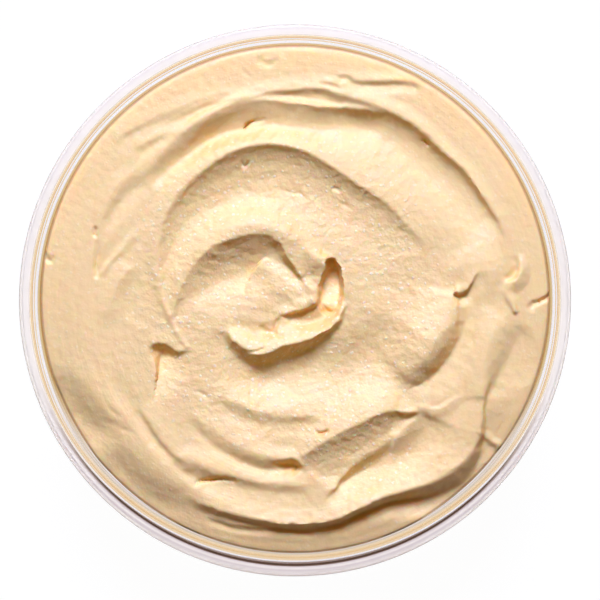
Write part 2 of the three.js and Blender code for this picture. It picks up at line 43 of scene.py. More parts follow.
# ---- the tub ----
RIM_RADIUS = 59.0
TUB_HEIGHT = 46.0
WALL = 0.8
DRAFT = math.radians(7)
INNER_RIM_RADIUS = 56.0  # the inner wall carried up to the rim's top
FLANGE_TOP = 45.2
RIM_EDGE_RADIUS = 0.7
SKIRT_BOTTOM = 42.4
BEAD_RADIUS = 0.38
FOOT_RECESS_RADIUS = 38.2
FOOT_RECESS = 0.8
OUTER_CORNER = 6.0
TUB_SEGMENTS = 256
CORNER_STEPS = 10
RIM_EDGE_STEPS = 6
BEAD_STEPS = 12
TUB_SHARP = 40  # degrees: a sharper edge isn't shaded smooth

# ---- the hummus ----
HUMMUS_LEVEL = 38.0
RINGS = 165
RING_GROWTH = 6  # how many points more each ring has than the one inside it
MIDDLE_SPACING = 0.75  # of the rings in the middle, against their mean spacing
HUMMUS_CORNER_STEPS = 6
HUMMUS_SHARP = 70
INTO_WALL = 0.15  # the filling reaches into the wall, so that no air gap shows
LOW_SIDE = dict(depth=3.4, start=44, width=12)  # toward -Y the surface sinks to the wall
LOW_SIDE_FOCUS = 1.5  # above 1, that sinking keeps closer to -Y
EDGE_FALL = dict(depth=0.3, start=53.8, width=1.2)  # and the surface is rounded at the wall
# Grain shows in two spots that end over width. across and along weigh distances in X and in Y.
GRAINY_BOWL = dict(x=-2, y=1, across=1, along=1, radius=27, width=14)
GRAINY_FACET = dict(x=14, y=-32, across=0.75, along=1.1, radius=8, width=5)
LEAST_GRAIN = 0.3

# ---- the spoon strokes ----
# line: the crest or the bottom of a stroke, as points that a smooth curve joins. Each size is
# one number, or several that are spread evenly along the line. A ridge rises by rise to its
# crest, falls over face on the side that facing names, or else the right, to dig below its
# surroundings, and comes back over floor. On the other side it falls over back. A groove is
# depth deep along its line and width wide to each side, and is a mound where depth is below 0.
# fade is the shares of the line over which a stroke grows and dies out. sharp turns the round
# crest into an edge, roll lets the floor rise at once, hollow says where the face is steepest,
# and flat is the level share of a groove's width. blend and end are told after the tables.
RIGHT, LEFT = -1, 1  # of the way that the line runs
FINE = dict(fade=(0, 0), blend=0.4)
WALL_FOLD = dict(rise=0.15, face=0.6, back=1.5, dig=0.25, floor=1.5, fade=(0.2, 0.2))

RIDGES = {
    "outer_crest": dict(
        line=[(-31.1, 36.4), (-26.2, 39.7), (-21, 42), (-16.1, 43.3), (-11.7, 43.9), (-7.9, 44.6),
              (-4.2, 45.1), (0.8, 45.5), (5.9, 45.6), (9.8, 44.4), (13.7, 43.1), (18.4, 41.5),
              (23.2, 39.3), (27.9, 36), (32.6, 31.5), (37, 27.4), (40.8, 22), (44.1, 16.8), (46.2, 11.2)],
        rise=[0.2, 0.4, 0.5, 0.5, 0.6, 0.6, 0.8, 0.9, 0.8, 0.3],
        face=[2, 1.2, 0.9, 1.3, 1.6, 3.4, 4.2, 3.4, 2.4, 1.4],
        back=[4, 3, 2.8, 3, 3.4, 4, 3.6, 2.6, 2.6, 2.2],
        dig=[0.1, 0.1, 0.1, 0.6, 0.5, 0.9, 1.3, 1.1, 0.8, 0.1], floor=[3, 2, 2, 4, 5, 6, 7, 7, 7, 5],
        fade=(0.1, 0.06), sharp=0.3, hollow=[0, 0, 0.2, 0.3, 0.5, 0.9, 1, 1, 0.9],
    ),
    "inner_fold": dict(
        line=[(-34.6, 23.9), (-32.2, 28.2), (-29.2, 32), (-25.3, 35.3), (-21, 38.7), (-16.3, 41.3),
              (-11.5, 42.9), (-5.7, 43.2), (-0.1, 42.5), (5.9, 41.7), (12, 41.4), (17.6, 40.6),
              (22.3, 39)],
        rise=[0.2, 0.7, 1.3, 1.1, 0.9, 0.8, 0.3], face=[3, 4.2, 4.8, 6, 5, 4.6, 4],
        back=[3, 2.6, 2, 1.8, 1.6, 1.4, 1], dig=[0.2, 1.1, 2, 1.6, 1.3, 1.2, 0.6],
        floor=[3, 3.4, 3.6, 4.4, 5, 6, 6], fade=(0.1, 0.12), roll=0.4,
        hollow=[-0.1, -0.1, -0.1, 0.4, 0.8, 0.8, 0.8],
    ),
    "taper_edge": dict(
        line=[(-42.6, 4.5), (-40.2, 7.8), (-37.6, 10.8), (-35, 13.8), (-32.6, 16.8)],
        rise=[0.3, 0.3, 0.25, 0.2, 0.1], face=[0.8, 1, 1.4, 2], back=[0.9, 1.2, 2],
        dig=[0.1, 0.15, 0.1, 0], floor=3, facing=LEFT, fade=(0.15, 0.4), sharp=0.4,
    ),
    "left_roll": dict(
        line=[(-34.6, 8.2), (-37.2, 5), (-39.1, 1.3), (-40.2, -2.6), (-40.6, -6.5)],
        rise=[0.3, 0.6, 0.5, 0.4, 0.2], face=[2, 3, 4, 5, 5], back=4, dig=[0.1, 0.3, 0.3, 0.2, 0.1],
        floor=5, facing=LEFT, fade=(0.15, 0.3), hollow=0.3,
    ),
    "main_swirl": dict(
        line=[(-23, -10.1), (-25.5, -6.5), (-27.7, -1.7), (-29.2, 3.2), (-29.5, 9.1), (-28.8, 14.7),
              (-27, 19.6), (-24, 24.1), (-19.5, 28.2), (-13.9, 31.7), (-8.3, 33.5), (-2.7, 33.5),
              (2.9, 31.7), (8.1, 28.7), (13.7, 25), (19.3, 21.3), (23.8, 16.8), (27.3, 12.7),
              (28.6, 9.1)],
        rise=[0.3, 0.4, 0.7, 1.2, 1.7, 1.6, 1.2, 0.8, 0.2],
        face=[0.7, 1, 4.5, 6.6, 7, 6.5, 5.4, 4.6, 3.4], back=[1, 1.4, 4, 5, 4.6, 4.6, 6, 7, 6],
        dig=[0, 0.1, 0.5, 0.9, 1.1, 1, 0.6, 0.5, 0.1], floor=[3, 4, 6, 8, 9, 9, 8, 8, 8],
        fade=(0.01, 0.08), sharp=0.15, hollow=[0.5, 0.5, 0.8, 1, 1, 1, 1, 1, 0.8],
    ),
    "swirl_tip": dict(
        line=[(-31.8, -9.7), (-29.8, -9.2), (-28.1, -9.4), (-26.6, -10.1), (-25.1, -10.9),
              (-23.4, -10.8)],
        rise=[0.05, 0.15, 0.15, 0.1, 0.1, 0], face=[1.4, 2.1, 2.3, 1.8, 1], back=2.4,
        dig=[0.3, 2, 2.8, 2.5, 1.3, 0.1], floor=[3, 9, 13, 11, 4], fade=(0.1, 0.05), hollow=0.4,
    ),
    "curl": dict(
        line=[(-26.4, -5.2), (-26.2, -1.7), (-25.1, 1.3), (-23.8, 4.3), (-21.7, 7.8), (-18.9, 10.6),
              (-15.6, 12.7), (-11.7, 14), (-7.9, 14.3), (-5.1, 13.8), (-3.1, 12.2), (-1.9, 9.9),
              (-0.8, 8), (0.6, 6.1), (2, 3.7)],
        rise=[0.2, 0.5, 1.1, 1.9, 2.2, 2, 1.6, 1.3, 0.8],
        face=[0.8, 1.8, 6, 8.4, 8.6, 7.6, 3.4, 0.9, 0.5], back=[2.5, 4, 6, 8, 9, 8, 5, 3, 2],
        dig=[0.1, 0.2, 0.4, 0.8, 1.1, 1.2, 1, 0.7, 0.4], floor=[3, 4, 5, 5, 5, 5, 4, 3, 2.4],
        fade=(0.05, 0.06), hollow=[0.3, 0.5, 0.6, 0.75, 0.8, 0.8, 0.8, 0.6, 0.4],
    ),
    "curl_shelf": dict(
        line=[(-19.1, 13.4), (-15.6, 15.7), (-11.7, 16.7), (-7.9, 16.9), (-4.6, 16.3), (-1.6, 14.7),
              (1, 12.5), (3.1, 10.3), (5.1, 9.1), (7, 8.8)],
        rise=[0.1, 0.4, 0.45, 0.5, 0.7, 1, 1.3, 1.6, 1.5], face=[2.2, 2.6, 2.6, 2.7, 3.2, 4.2, 5, 5, 3.6],
        back=[3, 5, 6, 6, 5.5, 5, 4, 3, 1.5], dig=0, floor=2, fade=(0.15, 0.04),
    ),
    "curl_lip": dict(
        line=[(10.8, 0), (9.9, -3), (8.2, -5.4), (5.8, -7), (3.1, -8.3), (0.3, -9.2), (-2.5, -9.8),
              (-5.1, -10.9), (-7.2, -11.5), (-9.4, -11), (-11.7, -9.6), (-13.7, -7.9), (-14.5, -5.4)],
        rise=[0.6, 1.6, 2.2, 2.4, 2.4, 1.9, 0.6], face=[0.8, 1.4, 2.3, 3.1, 3.3, 2.8, 1.2],
        back=[1.2, 2.4, 3.6, 5, 6, 5.5, 3], dig=[0, 0.4, 1.2, 1.5, 1.5, 1.1, 0.2],
        floor=[3, 4, 8, 10, 10, 7, 4], facing=LEFT, fade=(0.06, 0.06), sharp=0.2,
        hollow=[0.3, 0.4, 0.4, 0.4, 0.3, 0.3, 0.5],
    ),
    "flap": dict(
        line=[(-3.1, -3.1), (-1, -2.7), (1.2, -2), (3.3, -1.3), (5.3, -0.2)],
        rise=[0.5, 0.9, 1.1, 0.9, 0.5], face=0.5, back=[2, 2.8, 3.2, 3, 2.4],
        dig=[0.2, 0.5, 0.6, 0.5, 0.2], floor=1.8, fade=(0.1, 0.15), hollow=0.2,
    ),
    "right_roll": dict(
        line=[(33.9, 3), (33.1, -0.9), (31.8, -5.2), (29.8, -8.8), (27.5, -12.3), (24.9, -15.3),
              (22.3, -17.9)],
        rise=[0.4, 1.3, 2.3, 3, 2.8, 1.7, 0.3], face=[3, 4.2, 4.6, 4.8, 4.6, 3.6, 2.4],
        back=[9, 11, 12, 12, 10], dig=[0.2, 0.4, 0.7, 0.8, 0.6, 0.2], floor=[4, 5, 6, 6, 4], facing=LEFT,
        fade=(0.1, 0.12), roll=0.3, hollow=-0.5,
    ),
    "patch_top": dict(
        line=[(32.6, 9.9), (35.7, 8), (39.1, 6.9), (42.6, 6.5), (45.8, 6.5)],
        rise=[0.3, 0.6, 0.7, 0.6, 0.3], face=[5, 8, 9, 8, 4], back=[4, 6, 7, 7, 4], dig=0, floor=2,
        fade=(0.25, 0.2),
    ),
    "crest_hook": dict(
        line=[(48.4, 10.3), (48.6, 8.2), (48.4, 6.2), (47.3, 4.3), (45.1, 3.7)],
        rise=[0.2, 0.6, 0.9, 0.9, 0.3], face=0.8, back=[1.6, 2.4, 3, 3], dig=[0.1, 0.3, 0.6, 0.6, 0.3],
        floor=[1.5, 2], fade=(0.25, 0.1), hollow=0.3,
    ),
    "shoulder": dict(
        line=[(44.7, -2.4), (43.2, -5), (42.2, -7.5), (41.5, -10.3), (40.9, -13.1), (40.5, -15.9),
              (40.3, -18.7), (40.4, -21.3)],
        rise=[0.2, 0.6, 0.9, 1, 1, 0.9, 0.7, 0.3], face=[5.8, 6, 5.6, 5.2, 4.6, 3.8, 2.6, 1.6], back=6,
        dig=[0.3, 0.7, 0.9, 1, 1, 0.9, 0.6, 0.2], floor=[4, 7, 9, 9, 7], facing=LEFT, fade=(0.1, 0.05),
        roll=0.3, hollow=-0.2,
    ),
    "facet_top": dict(
        line=[(1.4, -33.8), (3.8, -32), (6.8, -30.2), (10.2, -28.3), (13.7, -26.5), (16.9, -24.9),
              (20.1, -23.8), (23, -24), (25.8, -24)],
        rise=[0.8, 1.7, 2.3, 2.6, 2.6, 2.3, 1.2, 0.4], face=[5, 8, 9, 9, 8.5, 7, 3.4, 1.2],
        back=[3, 5, 7, 8, 9, 8, 5, 2], dig=[0.3, 0.6, 0.8, 0.9, 0.9, 0.8, 0.6, 0.2], floor=3,
        fade=(0.03, 0.03), sharp=0.2, hollow=0.7,
    ),
    "facet_foot": dict(
        line=[(6.4, -42.7), (8.3, -40.7), (10.2, -38.3), (12.6, -35.9), (15.2, -33.9), (18.2, -32),
              (21.2, -29.8), (23.6, -27.9), (25.3, -26), (26.3, -23.9)],
        rise=[0.1, 0.4, 0.6, 0.5, 0.5, 0.5, 0.4, 0.3, 0.2],
        face=[0.6, 0.8, 1.1, 2.4, 4.2, 5.2, 5, 4.2, 2.4], back=[2.5, 2.5, 2.5, 2.5, 2.5, 2, 1.6, 1.2],
        dig=[0.2, 0.8, 1.3, 1.2, 1.2, 1.2, 1.1, 0.9, 0.4], floor=[4, 7, 12, 15, 14, 10],
        fade=(0.05, 0.04), hollow=0.5,
    ),
    "lower_fold": dict(
        line=[(-26.8, -33.8), (-24, -34.3), (-21.2, -34.9), (-18.6, -36), (-15.8, -37.1), (-12.6, -38.1),
              (-9.2, -39), (-5.7, -39.5), (-1.8, -39.7), (2, -39.9), (5.5, -40.5)],
        rise=[0.2, 0.7, 0.8, 0.5, 0.3, 0.3, 0.1], face=[1.4, 3, 3.2, 2, 2.2, 2.4, 2.4],
        back=[3, 4, 4.5, 4, 3.5, 3, 3], dig=[0.1, 0.7, 0.8, 0.7, 0.6, 0.5, 0.1],
        floor=[3, 2.8, 3, 5.5, 6, 5], fade=(0.05, 0.12), hollow=[-0.2, -0.2, 0, 0.4, 0.4, 0.3, 0],
    ),
    "left_crease": dict(
        line=[(-33.9, -22.6), (-32, -25.2), (-30.1, -28.2), (-28.1, -30.8), (-26.2, -32.8),
              (-23.8, -34.3)],
        rise=[0.2, 0.35, 0.4, 0.4, 0.3, 0.1], face=1.1, back=5, dig=[0.2, 0.45, 0.5, 0.5, 0.4, 0.2],
        floor=[3, 2.6, 2.4], fade=(0.15, 0.06),
    ),
    "upper_furrow": dict(
        line=[(-18.6, -19.6), (-15.2, -20.7), (-12.2, -22.1), (-9.2, -23.4), (-6.1, -24.4), (-2.7, -24.9),
              (0.8, -25), (4.2, -24.9), (7, -24.4)],
        rise=[0.05, 0.25, 0.4, 0.35, 0.3, 0.3, 0.05], face=[2.2, 2.6, 2.6, 2, 1.6, 1.4], back=5.5,
        dig=[0.05, 0.3, 0.4, 0.35, 0.3, 0.3, 0.05], floor=[3.4, 3.6, 3.6], fade=(0.2, 0.2), hollow=0.2,
    ),
    "lower_furrow": dict(
        line=[(-23.8, -23.5), (-20.8, -25.6), (-18.2, -27.6), (-15.6, -29.3), (-13, -30.8),
              (-10.5, -32.1), (-7.9, -33.1), (-5.3, -33.9), (-2.7, -34.2), (-0.3, -34.2), (1.6, -35.8)],
        rise=[0.1, 0.4, 0.6, 0.8, 0.8, 0.7, 0.8], face=[1.8, 2.2, 2.8, 3, 3, 1.7, 1.1],
        back=[4, 5, 5, 4.5, 3.5, 3, 2], dig=[0.1, 0.3, 0.4, 0.6, 0.7, 1.5, 1.9],
        floor=[3, 2.4, 2, 2.2, 3, 3.4], fade=(0.12, 0.03), hollow=[0, -0.2, -0.4, -0.4, -0.2, 0.2, 0.2],
    ),
    "rim_ridge": dict(
        line=[(41.9, -17), (41.1, -20), (40.4, -23.3), (40.1, -26.5), (39, -30.4), (36.9, -33.9),
              (33.5, -36.6), (29, -39.2), (23.8, -40.8), (19.1, -42.2), (14.1, -44.6), (9.4, -46.9),
              (4.6, -47.9), (-0.8, -48.1), (-6.4, -47.5), (-11.7, -46.3), (-16.7, -44.9), (-21.2, -43),
              (-25.5, -40.9)],
        rise=[0.2, 0.6, 1.2, 2, 2.2, 2, 1.6, 1.3, 1, 0.4],
        face=[0.7, 0.8, 2, 4.4, 2.4, 1.4, 1.2, 1.2, 1.8, 2.6],
        back=[4, 6, 7, 7, 6, 4.6, 3.8, 3.6, 3.6, 4],
        dig=[0.2, 0.4, 0.9, 1.4, 1.5, 1.1, 0.6, 0.4, 0.4, 0.2], floor=[5, 6, 9, 8, 5, 3.6, 3, 2.6, 3, 3],
        facing=LEFT, fade=(0.03, 0.1), sharp=0.75, hollow=[0.3, 0.3, -0.1, -0.2, -0.3, -0.2, 0, 0, 0, 0],
    ),
    "left_swell": dict(
        line=[(-49.2, -11.2), (-46.7, -15.3), (-44.1, -18.7), (-41.1, -22), (-37.8, -25.2),
              (-34.2, -28.4)],
        rise=0.25, face=[4, 6, 7, 6, 4], back=5, dig=[0.3, 1.2, 1.6, 1.2, 0.4], floor=13, fade=(0.3, 0.3),
    ),
    "lower_swell": dict(
        line=[(-38, -28), (-35.4, -31.5), (-32.6, -34.7), (-29.4, -37.5), (-25.5, -39.7), (-21.2, -40.9)],
        rise=0.2, face=[4, 5, 6, 6, 4.4], back=5, dig=[0.3, 0.7, 0.9, 0.8, 0.3], floor=9,
        fade=(0.3, 0.25),
    ),
}

GROOVES = {
    "bowl_top": dict(
        line=[(-25.5, 2.2), (-23.4, 13.4), (-15.6, 20.3), (-5.7, 23.3), (5.1, 20.9), (13.7, 14.7),
              (19.3, 6), (21, -2.2)],
        depth=[0.2, 0.6, 0.9, 0.8, 0.6, 0.4], width=[6, 8, 8.5, 8.5, 8], blend=1.5,
    ),
    "bowl_floor": dict(
        line=[(21, -2.6), (18, -9.7), (10.9, -14.2), (1.2, -17), (-8.5, -17.7), (-15.6, -16.4),
              (-21.4, -13.4)],
        depth=[0.4, 1.6, 2.2, 1.2, 0.3, 0.1], width=[8, 9, 9, 7, 5, 4], blend=1.5,
    ),
    "trough": dict(
        line=[(1.2, 38.4), (12, 37.3), (21.7, 33), (30.3, 25.9), (36.7, 19.4), (41.7, 13.4)],
        depth=[0.3, 0.9, 1.1, 0.8, 0.4], width=[4, 7, 8, 7, 6], blend=1.5,
    ),
    "lower_trough": dict(
        line=[(7.7, -40.1), (16.3, -36.6), (24.9, -31.9), (31.4, -25.9)],
        depth=[0.4, 0.9, 1, 0.4], width=[4, 5, 5.5], blend=1.5,
    ),
    "curl_hollow": dict(
        line=[(-19.7, -0.9), (-16.5, 3), (-11.3, 5.4), (-5.7, 4.7)],
        depth=[0.3, 1, 1.3, 0.6], width=[6, 8.5, 8.5, 5], blend=1.5,
    ),
    "flap_trough": dict(
        line=[(-1.4, -3.7), (0.8, -4.3), (3.8, -4.2), (6.6, -3.1), (8.3, -1.9)],
        depth=[0.5, 1, 1.2, 1, 0.6], width=[1.6, 2.4, 2.6, 2.2, 1.4],
    ),
    "curl_hole": dict(
        line=[(7.7, 8.2), (8.1, 6.9), (8, 5), (7.8, 3), (7.7, 1.1), (7.3, -0.9)],
        depth=[3, 4.2, 4.4, 3.9, 3.1, 1.6], width=[1, 1.8, 2.4, 2.8, 2.9, 2.6], fade=(0, 0), flat=0.6,
    ),
    "lump": dict(
        line=[(2.5, 3.4), (3.8, 1.9), (4.2, 0.2)],
        depth=[-0.6, -1.1, -0.9], width=2, fade=(0, 0),
    ),
    "pocket": dict(
        line=[(-4, -35.3), (-2, -35.6), (-0.1, -35.6)],
        depth=[0.5, 0.9, 0.7], width=[1, 1.5, 1.6], fade=(0, 0),
    ),
    "lump_bed": dict(
        line=[(-4, 3.2), (-2, 2.4), (0.1, 1.3), (1.8, 0.4)],
        depth=[-0.2, -0.4, -0.6, -0.5], width=[2.4, 3, 3, 2.4], fade=(0, 0), flat=0.25,
    ),
}

SMALL_RIDGES = {
    "upper_step": dict(
        line=[(-40.2, 34), (-36.3, 36.6), (-31.1, 39.2), (-25.8, 41.4), (-20.4, 43.6), (-15.6, 45),
              (-11.7, 45.7)],
        rise=0.1, face=[1.8, 1.4, 1.4, 1.2, 1, 1], back=3, dig=[0.15, 0.2, 0.2, 0.15, 0.15, 0.1], floor=3,
        fade=(0.15, 0.2),
    ),
    "small_fold": dict(
        line=[(-36.1, 32.1), (-32.9, 33.8), (-29, 35.8), (-25.8, 36.9), (-22.5, 38.1)],
        rise=[0.1, 0.2, 0.25, 0.2, 0.1], face=1.6, back=2, dig=[0.1, 0.2, 0.25, 0.15, 0.05], floor=2.4,
        fade=(0.25, 0.25),
    ),
    "taper_step": dict(
        line=[(-42.8, 13.6), (-41.9, 17), (-40.8, 20), (-39.1, 22.8), (-37.2, 25.4), (-35, 27.6),
              (-32.9, 29.3)],
        rise=[0.1, 0.22, 0.25, 0.15], face=[1.2, 2, 2.6, 2.8], back=3, dig=[0.15, 0.4, 0.5, 0.3],
        floor=3.4, fade=(0.2, 0.3),
    ),
    "taper_side": dict(
        line=[(-43, 4.3), (-43.2, 6.9), (-43.1, 9.9), (-42.6, 13.4)],
        rise=0.15, face=0.6, back=1.4, dig=[0.2, 0.2, 0.15], floor=2.4, fade=(0.2, 0.3),
    ),
    "hook": dict(
        line=[(34.6, 1.8), (35.9, 1.7), (37, 2.4), (37.8, 3.7), (38.7, 5.3), (39.8, 6.7)],
        rise=[0.9, 0.8, 0.6, 0.4, 0.2, 0.1], face=0.6, back=2.4, dig=[1.1, 1, 0.8, 0.5, 0.3, 0.1],
        floor=[2.6, 3], fade=(0.01, 0.2), hollow=0.2, blend=0.4, end=0.5,
    ),
    "crease_head": dict(
        line=[(35, 1.9), (34.8, -1.3), (34.7, -4.5), (34.6, -7.3)],
        rise=[0.2, 0.15, 0.1, 0.1], face=0.7, back=2, dig=[0.3, 0.2, 0.2, 0.2], floor=2, facing=LEFT,
        fade=(0.02, 0.2),
    ),
    "wall_ridge": dict(
        line=[(40.2, -28.7), (41.5, -29.7), (43, -30.9), (44.5, -31.7)],
        rise=[0.25, 0.45, 0.45, 0.3], face=[0.9, 1.2, 1.4], back=1.6, dig=[0.1, 0.2, 0.2, 0.2], floor=4,
        fade=(0.02, 0.1), hollow=0.5,
    ),
    "wavy_ridge": dict(
        line=[(25.3, -22.7), (27.9, -23), (29.8, -23.6), (31.6, -23.3), (33.3, -22), (35.4, -20.9),
              (37.2, -19.8)],
        rise=[0.15, 0.25, 0.3, 0.3, 0.25, 0.15, 0.05], face=[1.8, 2.4, 2.6, 2.4, 2, 1.4], back=0.9,
        dig=[0.05, 0.1, 0.1, 0.1, 0.1, 0.05], floor=3, fade=(0.1, 0.25), blend=0.5,
    ),
    "wall_step": dict(
        line=[(12, 47.6), (13.7, 47.3), (16.7, 47.2), (20.1, 47.3), (22.7, 47.3), (25.8, 46.8),
              (27.9, 46.1)],
        rise=[0.2, 0.3, 0.35, 0.35, 0.3, 0.2], face=0.8, back=2.4, dig=[0.3, 0.4, 0.45, 0.45, 0.3, 0.2],
        floor=2.4, fade=(0.08, 0.2), hollow=0.3,
    ),
    "wall_fold": dict(line=[(5.5, 47.6), (7.7, 47.1), (10.2, 46.4)], **WALL_FOLD),
    "wall_fold_b": dict(line=[(9.4, 48.5), (10.9, 48.6), (12.6, 48.1)], **WALL_FOLD),
    "foot_line": dict(
        line=[(5.1, -49.6), (0.8, -49.3), (-4, -48.8), (-8.5, -48.8), (-12.6, -48.5), (-16.3, -47.4),
              (-19.7, -46.4)],
        rise=[0.2, 0.25, 0.3, 0.3, 0.25], face=0.7, back=1.5, dig=[0.3, 0.35, 0.4, 0.35, 0.3], floor=1.6,
        facing=LEFT, fade=(0.1, 0.15), blend=0.5,
    ),
    "facet_notch": dict(
        line=[(22.3, -23.8), (23.4, -24.4), (24.7, -24.2), (26.2, -23.8)],
        rise=[0.2, 0.3, 0.4, 0.4], face=0.8, back=1.2, dig=[0.2, 0.3, 0.3, 0.2], floor=1.5,
        fade=(0.1, 0.05), blend=0.4,
    ),
    "tongue_end": dict(
        line=[(7, 7.3), (6.1, 5.2), (4.8, 3.4)],
        rise=[0.4, 0.5, 0.3], face=0.8, back=2.2, dig=0.2, floor=1.5, facing=LEFT, fade=(0.1, 0.2),
    ),
    "hole_lip": dict(
        line=[(8.3, 8.6), (9.4, 6.9), (10.2, 4.7), (10.7, 2.4), (10.7, 0)],
        rise=[0.2, 0.35, 0.35, 0.3, 0.2], face=0.5, back=1, dig=0.1, floor=1.2, fade=(0.2, 0.1),
        blend=0.4,
    ),
}

SMALL_GROOVES = {
    "hole_foot": dict(
        line=[(5.5, -0.6), (6.6, -1.7), (7.7, -2.6), (8.7, -2.4)],
        depth=[0.2, 0.6, 0.6, 0.2], width=0.7, **FINE,
    ),
    "lobe_dimple": dict(
        line=[(-7.2, -6.2), (-5.9, -6.9), (-4.6, -7.1)],
        depth=[0.2, 0.6, 0.4], width=1.2, fade=(0, 0),
    ),
    "lobe_crease": dict(
        line=[(-3.3, -3.7), (-4.1, -5.2), (-4.6, -6.7), (-4, -7.4), (-1.8, -8)],
        depth=[0.3, 0.6, 0.7, 0.5, 0.2], width=0.7, blend=0.4,
    ),
    "lobe_wrinkle": dict(
        line=[(-10, -11), (-8.3, -11), (-6.6, -10.2)],
        depth=0.5, width=0.5, blend=0.4,
    ),
    "wall_crack": dict(
        line=[(50.3, -2.6), (51.6, -0.8), (53.1, -0.1), (54.4, 0.6), (55.3, 1.3)],
        depth=[0.2, 0.8, 1, 0.9, 0.6], width=[1.6, 0.8, 0.7, 0.7], fade=(0.2, 0), blend=0.4,
    ),
    "pit": dict(
        line=[(-10.9, 37.4), (-9.6, 38.3), (-7.9, 38.8), (-6.1, 39.2)],
        depth=[1.8, 0.8, 0.5, 0.2], width=[0.5, 0.6, 0.7, 0.7], fade=(0, 0.1), blend=0.4,
    ),
    "fold_line": dict(
        line=[(-21.7, -40.1), (-20.6, -39.1), (-19.3, -38.8), (-17.1, -38.6), (-14.8, -38.6),
              (-12.2, -39.1)],
        depth=[0.3, 0.8, 1, 0.9, 0.6, 0.3], width=0.65, fade=(0.1, 0.1), blend=0.4,
    ),
    "dark_spot": dict(
        line=[(-43, 15.5), (-43.2, 13.8)],
        depth=0.8, width=0.5, **FINE,
    ),
    "crease_head_hollow": dict(
        line=[(-38, -18.5), (-35.7, -21.8), (-33.7, -23.9)],
        depth=[0.2, 0.35, 0.3], width=3, fade=(0, 0),
    ),
    "side_wrinkle_a": dict(
        line=[(-41.1, -21.6), (-39.8, -23.5), (-37.8, -25.2)],
        depth=[0.05, 0.2, 0.05], width=0.8, fade=(0, 0),
    ),
    "side_wrinkle_b": dict(
        line=[(-41.7, -25.6), (-39.1, -26.7), (-36.5, -28), (-34.2, -28.9)],
        depth=[0.05, 0.15, 0.15, 0.05], width=0.9, fade=(0, 0),
    ),
    "bowl_wrinkle_a": dict(
        line=[(-3.6, 23.8), (-1.4, 23.5), (0.8, 23), (2.3, 22.2)],
        depth=[0.05, 0.3, 0.3, 0.05], width=0.55, **FINE,
    ),
    "bowl_wrinkle_b": dict(
        line=[(8.5, 24.2), (9.6, 23.8)],
        depth=0.4, width=0.6, **FINE,
    ),
    "bowl_wrinkle_c": dict(
        line=[(9.6, 21.1), (10.9, 20.5), (12, 19.9)],
        depth=[0.1, 0.3, 0.1], width=0.6, **FINE,
    ),
    "chip": dict(
        line=[(-11.7, 30.2), (-10.9, 29.1), (-9.6, 30)],
        depth=0.5, width=0.6, blend=0.4,
    ),
    "low_wrinkle": dict(
        line=[(-21.4, -19.7), (-20.1, -20.1), (-18.9, -20.9)],
        depth=[0.1, 0.4, 0.1], width=0.7, **FINE,
    ),
    "low_crack": dict(
        line=[(4.4, -28.3), (5.7, -28.6), (7, -28.2)],
        depth=[0.6, 0.9, 1.1], width=0.6, fade=(0.1, 0), blend=0.4,
    ),
    "top_dimple": dict(
        line=[(-7.9, 51.7), (-5.7, 51), (-4, 51.7)],
        depth=[0.1, 0.35, 0.1], width=1, fade=(0, 0),
    ),
    "top_wrinkle": dict(
        line=[(-11.5, 49.8), (-10.5, 48.9), (-9.4, 48.2)],
        depth=[0.05, 0.2, 0.05], width=0.7, fade=(0, 0),
    ),
    "crest_pit": dict(
        line=[(27.9, 34.5), (28.8, 33.6)],
        depth=0.9, width=0.6, **FINE,
    ),
    "tooth_mound": dict(
        line=[(45.6, 2.2), (46.7, 0), (47.5, -2.2)],
        depth=[-0.3, -0.7, -0.8], width=[1.8, 1.4, 0.9], **FINE,
    ),
    "lobe_dish": dict(
        line=[(-12.2, -5.8), (-9.6, -6.7), (-6.6, -6.7), (-4, -5.8)],
        depth=[0.2, 0.6, 0.6, 0.2], width=[1.8, 2.6, 2.6, 2], fade=(0, 0),
    ),
    "drip": dict(
        line=[(-42.5, 13.4), (-42.7, 10.8), (-42.9, 8.2), (-43, 5.2)],
        depth=[0.15, 0.35, 0.5, 0.6], width=[0.5, 0.6, 0.7, 0.8], fade=(0.15, 0), blend=0.4,
    ),
    "wall_knob": dict(
        line=[(-53.8, 9.9), (-53.1, 8.6), (-52.3, 9.3)],
        depth=[0.3, 0.6, 0.3], width=0.7, **FINE,
    ),
}

LINE_STEP = 0.8  # between the samples of a stroke's line
BLEND = 0.7  # how far the samples of a line are averaged
FADE = (0.1, 0.1)  # the shares of a line over which it fades in and out
END_LENGTH = 1.5  # how far a stroke reaches past the end of its line
END_ZONE = 4.0  # only this near to an end can a point lie past it
SEARCH_STEP = 4  # samples from one place to the next where points near a line are looked for
CHUNK = 8000  # points that are worked out at a time
WAVES = 30  # in an unevenness
WAVE_LENGTHS = (1.4, 4.5)  # from the shortest to the longest
CRINKLE = 0.09  # how far the strokes' edges stray to the side
CRINKLE_SEEDS = (3, 5)  # along X and along Y
LUMP = 0.018  # and how uneven the surface is between them
LUMP_SEED = 7


def smooth(share):
    share = np.clip(share, 0, 1)
    return share * share * (3 - 2 * share)


def size_at(sizes, share):
    """The value at a share of the way along a list of evenly spread sizes."""
    sizes = np.atleast_1d(np.asarray(sizes, float))
    return np.interp(share, np.linspace(0, 1, len(sizes)), sizes)


